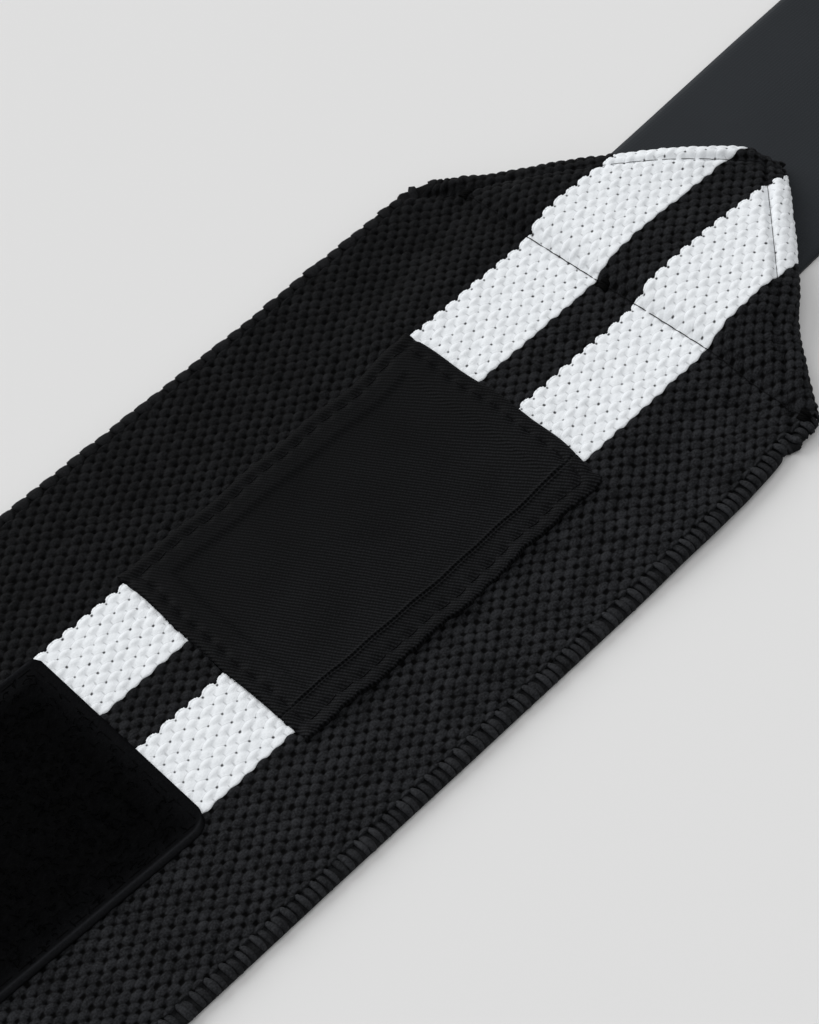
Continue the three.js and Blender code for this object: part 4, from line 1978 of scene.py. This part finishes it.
@dataclass
class Stitching:
    """All visible rows of sewing thread."""

    form: StrapForm
    label: WovenLabel
    patch: LoopPatch
    seam_finish: ThreadFinish
    dark_finish: ThreadFinish
    seam_radius: float = 0.075
    point_radius: float = 0.045
    label_radius: float = 0.09
    patch_radius: float = 0.06
    seam_pitch: float = 2.6
    patch_inset: float = 1.5
    hem_inset: float = 8.5
    hem_short: float = 3.0
    seam_share: float = 1.0
    seam_sink: float = 0.05
    seam_span: tuple[float, float] = (-35.4, 15.7)
    seam_end: tuple[float, float] = (103.1, 29.5)
    tack_spots: tuple[tuple[float, float], ...] = ((103.9, -35.0), (102.67, 0.9), (103.1, 29.4))
    tack_length: float = 1.6
    tack_radius: float = 0.36
    tack_stand: float = 0.12
    tack_shifts: Point = (-0.45, 0.0, 0.45)
    lie: float = 0.1

    def on_band(self, x: Array, y: Array) -> Array:
        """Places a little above the band's face, between the tops of its knots."""
        return np.stack([x, y, self.form.face(x, y) + self.lie], -1)

    def on_patch(self, a: Array, b: Array) -> Array:
        """Places on the border of the loop patch."""
        return self.patch.laid(a, b, self.patch.heights(a, b))

    def on_seam(self, y: float) -> tuple[float, float]:
        """A place on the row across the shoulders."""
        return (self.form.seam - self.form.skew * y, y)

    def seam_rows(self) -> list[StitchRow]:
        """The row across the shoulders, the rows beside the slanting folds and the row of the hem.

        Returns:
            The rows.
        """
        form = self.form
        low, high = self.seam_span
        corners = [self.on_seam(low), self.on_seam(high), self.seam_end]
        ends = [(start, end, self.seam_radius) for start, end in zip(corners, corners[1:])]
        away = form.row_inset * ROOT_TWO
        tip = (form.apex[0] - away, form.apex[1])
        for side in Side:
            edge = form.shoulder_width / 2 - away
            start = (tip[0] - edge + side.value * form.apex[1], side.value * edge)
            ends.append((start, tip, self.point_radius))
        edge = form.band_width / 2 - self.hem_short
        hem = form.far_end + self.hem_inset
        ends.append(((hem, -edge), (hem, edge), self.seam_radius))
        thread = (self.seam_pitch, self.seam_share, self.seam_sink)
        return [StitchRow(start, end, self.on_band, radius, *thread) for start, end, radius in ends]

    def tack_rows(self) -> list[StitchRow]:
        """Short stitches laid side by side where the row across the shoulders is tacked.

        Returns:
            The stitches, each a row of one.
        """
        rows = []
        half = self.tack_length / 2
        for x, y in self.tack_spots:
            for shift in self.tack_shifts:
                ends = [(x + shift, y - half), (x + shift, y + half)]
                size = (self.tack_radius, self.tack_length)
                rows.append(StitchRow(*ends, self.on_band, *size, stand=self.tack_stand))
        return rows

    @staticmethod
    def frame_rows(
        low: tuple[float, float], high: tuple[float, float], place: Callable, radius: float
    ) -> list[StitchRow]:
        """Four rows along the sides of a rectangle.

        Args:
            low: Its lowest corner.
            high: Its highest corner.
            place: Carries its coordinates to places.
            radius: Of the thread.
        Returns:
            The rows.
        """
        corners = [low, (high[0], low[1]), high, (low[0], high[1])]
        pairs = zip(corners, corners[1:] + corners[:1])
        return [StitchRow(start, end, place, radius) for start, end in pairs]

    def build(self) -> list[bpy.types.Object]:
        """Makes the thread of the seams, the label and the patch.

        Returns:
            The pieces.
        """
        label, patch = self.label, self.patch
        inset = label.stitch_inset
        label_high = (label.size[0] - inset, label.size[1] - inset)
        reach = patch.width / 2 - self.patch_inset
        patch_low, patch_high = (self.patch_inset - patch.length, -reach), (-self.patch_inset, reach)
        label_rows = self.frame_rows((inset, inset), label_high, label.surface, self.label_radius)
        patch_rows = self.frame_rows(patch_low, patch_high, self.on_patch, self.patch_radius)
        seam, dark = self.seam_finish.material(), self.dark_finish.material()
        sets = (
            ("stitches_seams", seam, self.seam_rows()),
            ("stitches_tacks", dark, self.tack_rows()),
            ("stitches_label", seam, label_rows),
            ("stitches_patch", dark, patch_rows),
        )
        pieces = []
        for name, material, rows in sets:
            draft = MeshDraft()
            for row in rows:
                tubes(draft, row.lines(), row.radius, UPRIGHT, row.sides, row.flat)
            pieces.append(draft.to_object(name, material))
        return pieces


# Studio


@dataclass(frozen=True)
class SoftLight:
    """A wide, far soft light that reaches all of the floor alike."""

    name: str
    heading: Point
    strength: float
    spread: float


@dataclass
class Studio:
    """Camera, floor and soft light."""

    floor: FloorFinish
    eye: Point = (-59.66, -166.79, 276.78)
    aim: Point = (58.21, -3.88, 0.0)
    roll: float = math.radians(-10.66)
    focal_px: float = 2500.0
    sensor: float = 36.0
    clip: tuple[float, float] = (0.01, 20.0)
    floor_reach: float = 20.0
    sky: float = 0.45
    lights: tuple[SoftLight, ...] = (
        SoftLight("key_light", (-0.6, 3.1, 1.9), 2.25, math.radians(56.0)),
        SoftLight("top_light", (0.1, -0.3, 2.2), 0.92, math.radians(60.0)),
    )

    def build(self) -> None:
        """Makes the camera, the floor, the lights and the sky."""
        self.make_camera()
        self.make_floor()
        for light in self.lights:
            self.make_light(light)
        world = bpy.data.worlds.new("studio_sky")
        bpy.context.scene.world = world
        world.use_nodes = True
        background = world.node_tree.nodes["Background"]
        background.inputs["Color"].default_value = (1.0, 1.0, 1.0, 1.0)
        background.inputs["Strength"].default_value = self.sky
        bpy.context.scene.view_settings.view_transform = "Standard"

    def make_camera(self) -> None:
        """Places the camera at the photograph's eye."""
        eye, aim = Vector(self.eye) * MM, Vector(self.aim) * MM
        data = bpy.data.cameras.new("camera")
        data.sensor_width = self.sensor
        data.lens = self.focal_px / IMAGE_HEIGHT_PX * self.sensor
        data.clip_start, data.clip_end = self.clip
        camera = bpy.data.objects.new("camera", data)
        bpy.context.scene.collection.objects.link(camera)
        turn = (aim - eye).to_track_quat("-Z", "Y").to_matrix() @ Matrix.Rotation(self.roll, 3, "Z")
        camera.matrix_world = Matrix.LocRotScale(eye, turn, None)
        bpy.context.scene.camera = camera

    def make_floor(self) -> None:
        """Makes the pale floor."""
        reach = self.floor_reach
        mesh = bpy.data.meshes.new("floor")
        corners = [(-reach, -reach, 0.0), (reach, -reach, 0.0), (reach, reach, 0.0), (-reach, reach, 0.0)]
        mesh.from_pydata(corners, [], [(0, 1, 2, 3)])
        mesh.materials.append(self.floor.material())
        piece = bpy.data.objects.new("floor", mesh)
        bpy.context.scene.collection.objects.link(piece)

    @staticmethod
    def make_light(light: SoftLight) -> None:
        """Hangs one soft light.

        Args:
            light: The light.
        """
        data = bpy.data.lights.new(light.name, "SUN")
        data.angle = light.spread
        data.energy = light.strength
        lamp = bpy.data.objects.new(light.name, data)
        lamp.location = light.heading
        lamp.rotation_euler = (-Vector(light.heading)).to_track_quat("-Z", "Y").to_euler()
        bpy.context.scene.collection.objects.link(lamp)


BLACK_KNOTS = KnotShape(1.26, 0.84, 0.95, 0.93, 0.8)
# Painted shade in the gaps and creases of the black weave.
BLACK_GAPS = PaintedGapShade(0.33, 0.22, 0.8, (0.95, 1.0), (0.46, 0.46), 0.85, 0.34)
# The third colour and the last number paint shade: in the gaps and creases, and towards the left (+Y) side.
BLACK_YARN = YarnFinish(
    "black_elastic", (0.0225, 0.0235, 0.0262), (0.0042, 0.0045, 0.0051), (0.0004, 0.0004, 0.0005),
    0.8, 0.01, 0.05, BLACK_KNOTS, BLACK_GAPS, 0.6,
)
# The third colour and the last number paint shade: in the gaps and creases, and towards the left (+Y) side.
BLACK_WEFT = YarnFinish(
    "black_weft", (0.027, 0.028, 0.031), (0.008, 0.0085, 0.0095), (0.0004, 0.0004, 0.0005), 0.75, 0.01, 0.06,
    BLACK_KNOTS, BLACK_GAPS, 0.6,
)
# The third colour is painted shade for the gap dots and creases; the gap look puts most crease shade on the
# left of each knot.
WHITE_YARN = YarnFinish(
    "white_elastic", (0.745, 0.77, 0.795), (0.665, 0.69, 0.715), (0.045, 0.045, 0.048), 0.85, 0.05, 0.1,
    KnotShape(1.42, 0.68, 1.05, 0.86, 0.55), PaintedGapShade(0.15, 0.11, 0.32, (1.5, 0.55), (0.02, 0.2), 0.3, 0.2),
)
TAPE = TapeFinish("hook_tape", (0.0125, 0.0147, 0.0175), (0.0198, 0.0229, 0.027), 0.5, 0.62)
HOOKS = TapeFinish("hook_nylon", (0.014, 0.016, 0.019), (0.024, 0.027, 0.032), 0.4, 0.5)
PILE = PileFinish(
    "loop_pile", (0.0006, 0.0006, 0.0007), (0.0032, 0.0033, 0.0036), (0.0115, 0.012, 0.0135), 0.9,
)
SATIN = SatinFinish("label_satin", (0.0013, 0.0014, 0.0016), (0.0145, 0.0152, 0.0171), 0.46, 0.4, 0.6)
THREAD = ThreadFinish("black_thread", (0.0025, 0.0025, 0.0028), (0.007, 0.007, 0.008), 0.5, 0.75)
# Black thread, darker than the seam thread: its own black, and on the tacks also painted shade of the pits
# where they pull in.
DARK_THREAD = ThreadFinish("dark_thread", (0.0005, 0.0005, 0.0006), (0.0018, 0.0018, 0.002), 0.5, 0.85)
FLOOR = FloorFinish("pale_floor", (0.665, 0.665, 0.665), (0.65, 0.65, 0.65))


def main() -> None:
    """Builds the studio and every piece of the strap."""
    logging.basicConfig(level=logging.INFO, format="%(name)s %(message)s")
    Studio(FLOOR).build()
    form = StrapForm.from_frame()
    band = ElasticBand(form, Weave(), {Warp.BLACK: BLACK_YARN, Warp.WHITE: WHITE_YARN}, BLACK_WEFT)
    tab = HookTab(form, TAPE, HOOKS)
    patch = LoopPatch(form, PILE)
    label = WovenLabel(form, SATIN)
    stitching = Stitching(form, label, patch, THREAD, DARK_THREAD)
    for part in (band, tab, patch, label, stitching):
        made = part.build()
        log.info("%s made %s", type(part).__name__, [piece.name for piece in made])


if __name__ == "__main__":
    main()
